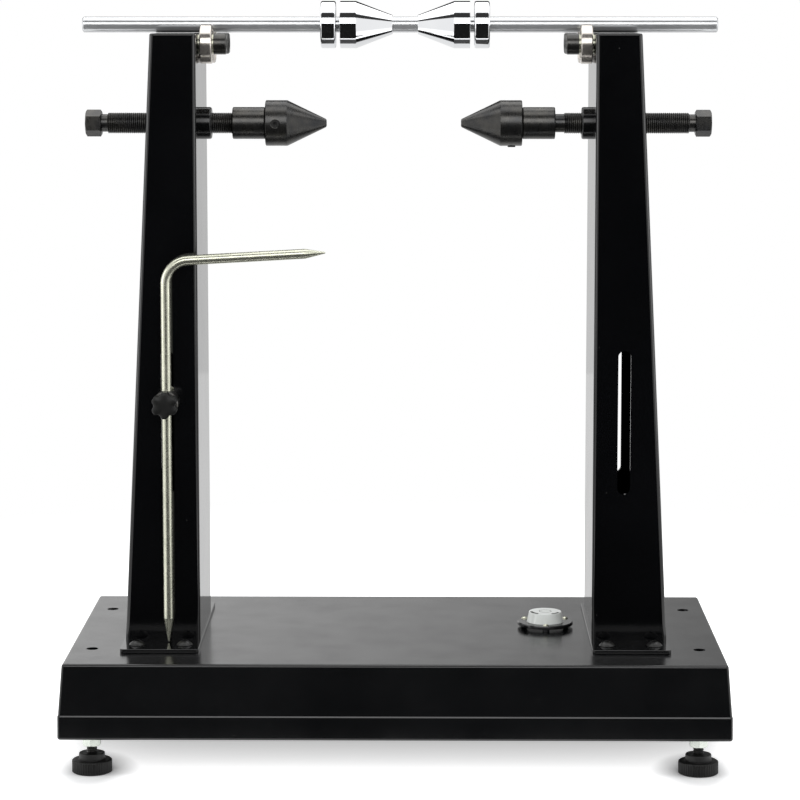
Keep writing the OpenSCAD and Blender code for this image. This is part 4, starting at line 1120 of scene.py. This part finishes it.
# place, aim, width, height and brightness
softboxes = {"overhead": ((0, 0.36, 1.65), (0, 0.36, 0), 2.4, 1.8, 1.3),
             "frontBox": ((0, -3.2, 1.7), (0, 0, 0.35), 2.6, 1.8, 2.2),
             "leftBox": ((-2.3, -0.5, 0.7), (0, 0, 0.35), 1.1, 1.4, 2.2),
             "rightBox": ((2.3, -0.5, 0.7), (0, 0, 0.35), 1.1, 1.4, 2.0)}


def hangSoftbox(name, place, aim, wide, tall, glow):
    data = bpy.data.lights.new(name, "AREA")
    data.shape = "RECTANGLE"
    data.size = wide
    data.size_y = tall
    data.energy = glow * pi * wide * tall
    lamp = addObject(name, data)
    lamp.location = place
    lamp.rotation_euler = (Vector(place) - Vector(aim)).to_track_quat("Z", "Y").to_euler()


# two corners, tone, tone at the right, share of the rear edge
flags = {"lowFlag": ((-1.45, -3.05, 0.002), (1.45, -0.2, 0.002), 0.01, None, 0.25),
         "cameraFlag": ((-1.6, -3.05, 0.0), (1.6, -3.05, 0.9), 0.01),
         "rimFlag": ((-2.0, 2.15, 0.92), (2.0, 2.15, 2.4), 0.04),
         "gapFlag": ((-1.3, -1.64, 1.62), (1.3, -0.62, 1.62), 0.04),
         "backCard": ((-3.0, 2.2, 0.0), (3.0, 2.2, 1.7), 1.15, 0.42),
         "backFloor": ((-3.0, 0.14, 0.002), (3.0, 2.2, 0.002), 0.95, 0.8)}
flagFade = (-0.55, 0.5)


def setFlag(name, low, high, tone, toneRight=None, rearShare=1):
    # a card that only reflections see, its rear edge narrower by rearShare
    leaveAll()
    low, high = Vector(low), Vector(high)
    bpy.ops.mesh.primitive_plane_add(size=1, location=(low + high) / 2)
    card = nameIt(name)
    size = high - low
    if size.z > size.y:
        card.rotation_euler = (pi / 2, 0, 0)
    card.scale = (size.x, max(size.y, size.z), 1)
    settle(card)
    openEdit(card)
    choose(card, "VERT", lambda v: v.co.y > high.y - hair)
    bpy.ops.transform.resize(value=(rearShare, 1, 1), center_override=(0, 0, 0))
    leaveAll()
    finish, tree, _, spot = startFinish(name + "Finish")
    glow = addNode(tree, "Emission", {"Color": (tone, tone, tone, 1)})
    if toneRight is not None:
        split = addNode(tree, "SeparateXYZ", {0: spot})
        fade = spread(tree, split.outputs["X"], tone, toneRight, *flagFade)
        fillInputs(tree, glow, {"Color": fullWhite, "Strength": fade})
    fillInputs(tree, tree.nodes["Material Output"], {"Surface": glow.outputs[0]})
    card.data.materials.append(finish)
    for kind in ("camera", "diffuse", "shadow", "transmission", "volume_scatter"):
        setattr(card, "visible_" + kind, False)


view = {"place": (0.025, -2.2057, 0.5712), "tilt": 7.09, "turn": 0.58, "lens": 128.78, "sensor": 36,
        "shift": -0.05, "reach": 100}


def makeCamera():
    data = bpy.data.cameras.new("photoCamera")
    data.lens = view["lens"]
    data.sensor_width = view["sensor"]
    data.shift_y = view["shift"]
    data.clip_end = view["reach"]
    camera = addObject("photoCamera", data)
    camera.location = view["place"]
    camera.rotation_euler = (radians(90 - view["tilt"]), 0, radians(view["turn"]))
    bpy.context.scene.camera = camera


makeFloor()
makeWorld()
for name, box in softboxes.items():
    hangSoftbox(name, *box)
for name, card in flags.items():
    setFlag(name, *card)
makeCamera()
bpy.context.scene.view_settings.view_transform = "Standard"
print("studio lit")
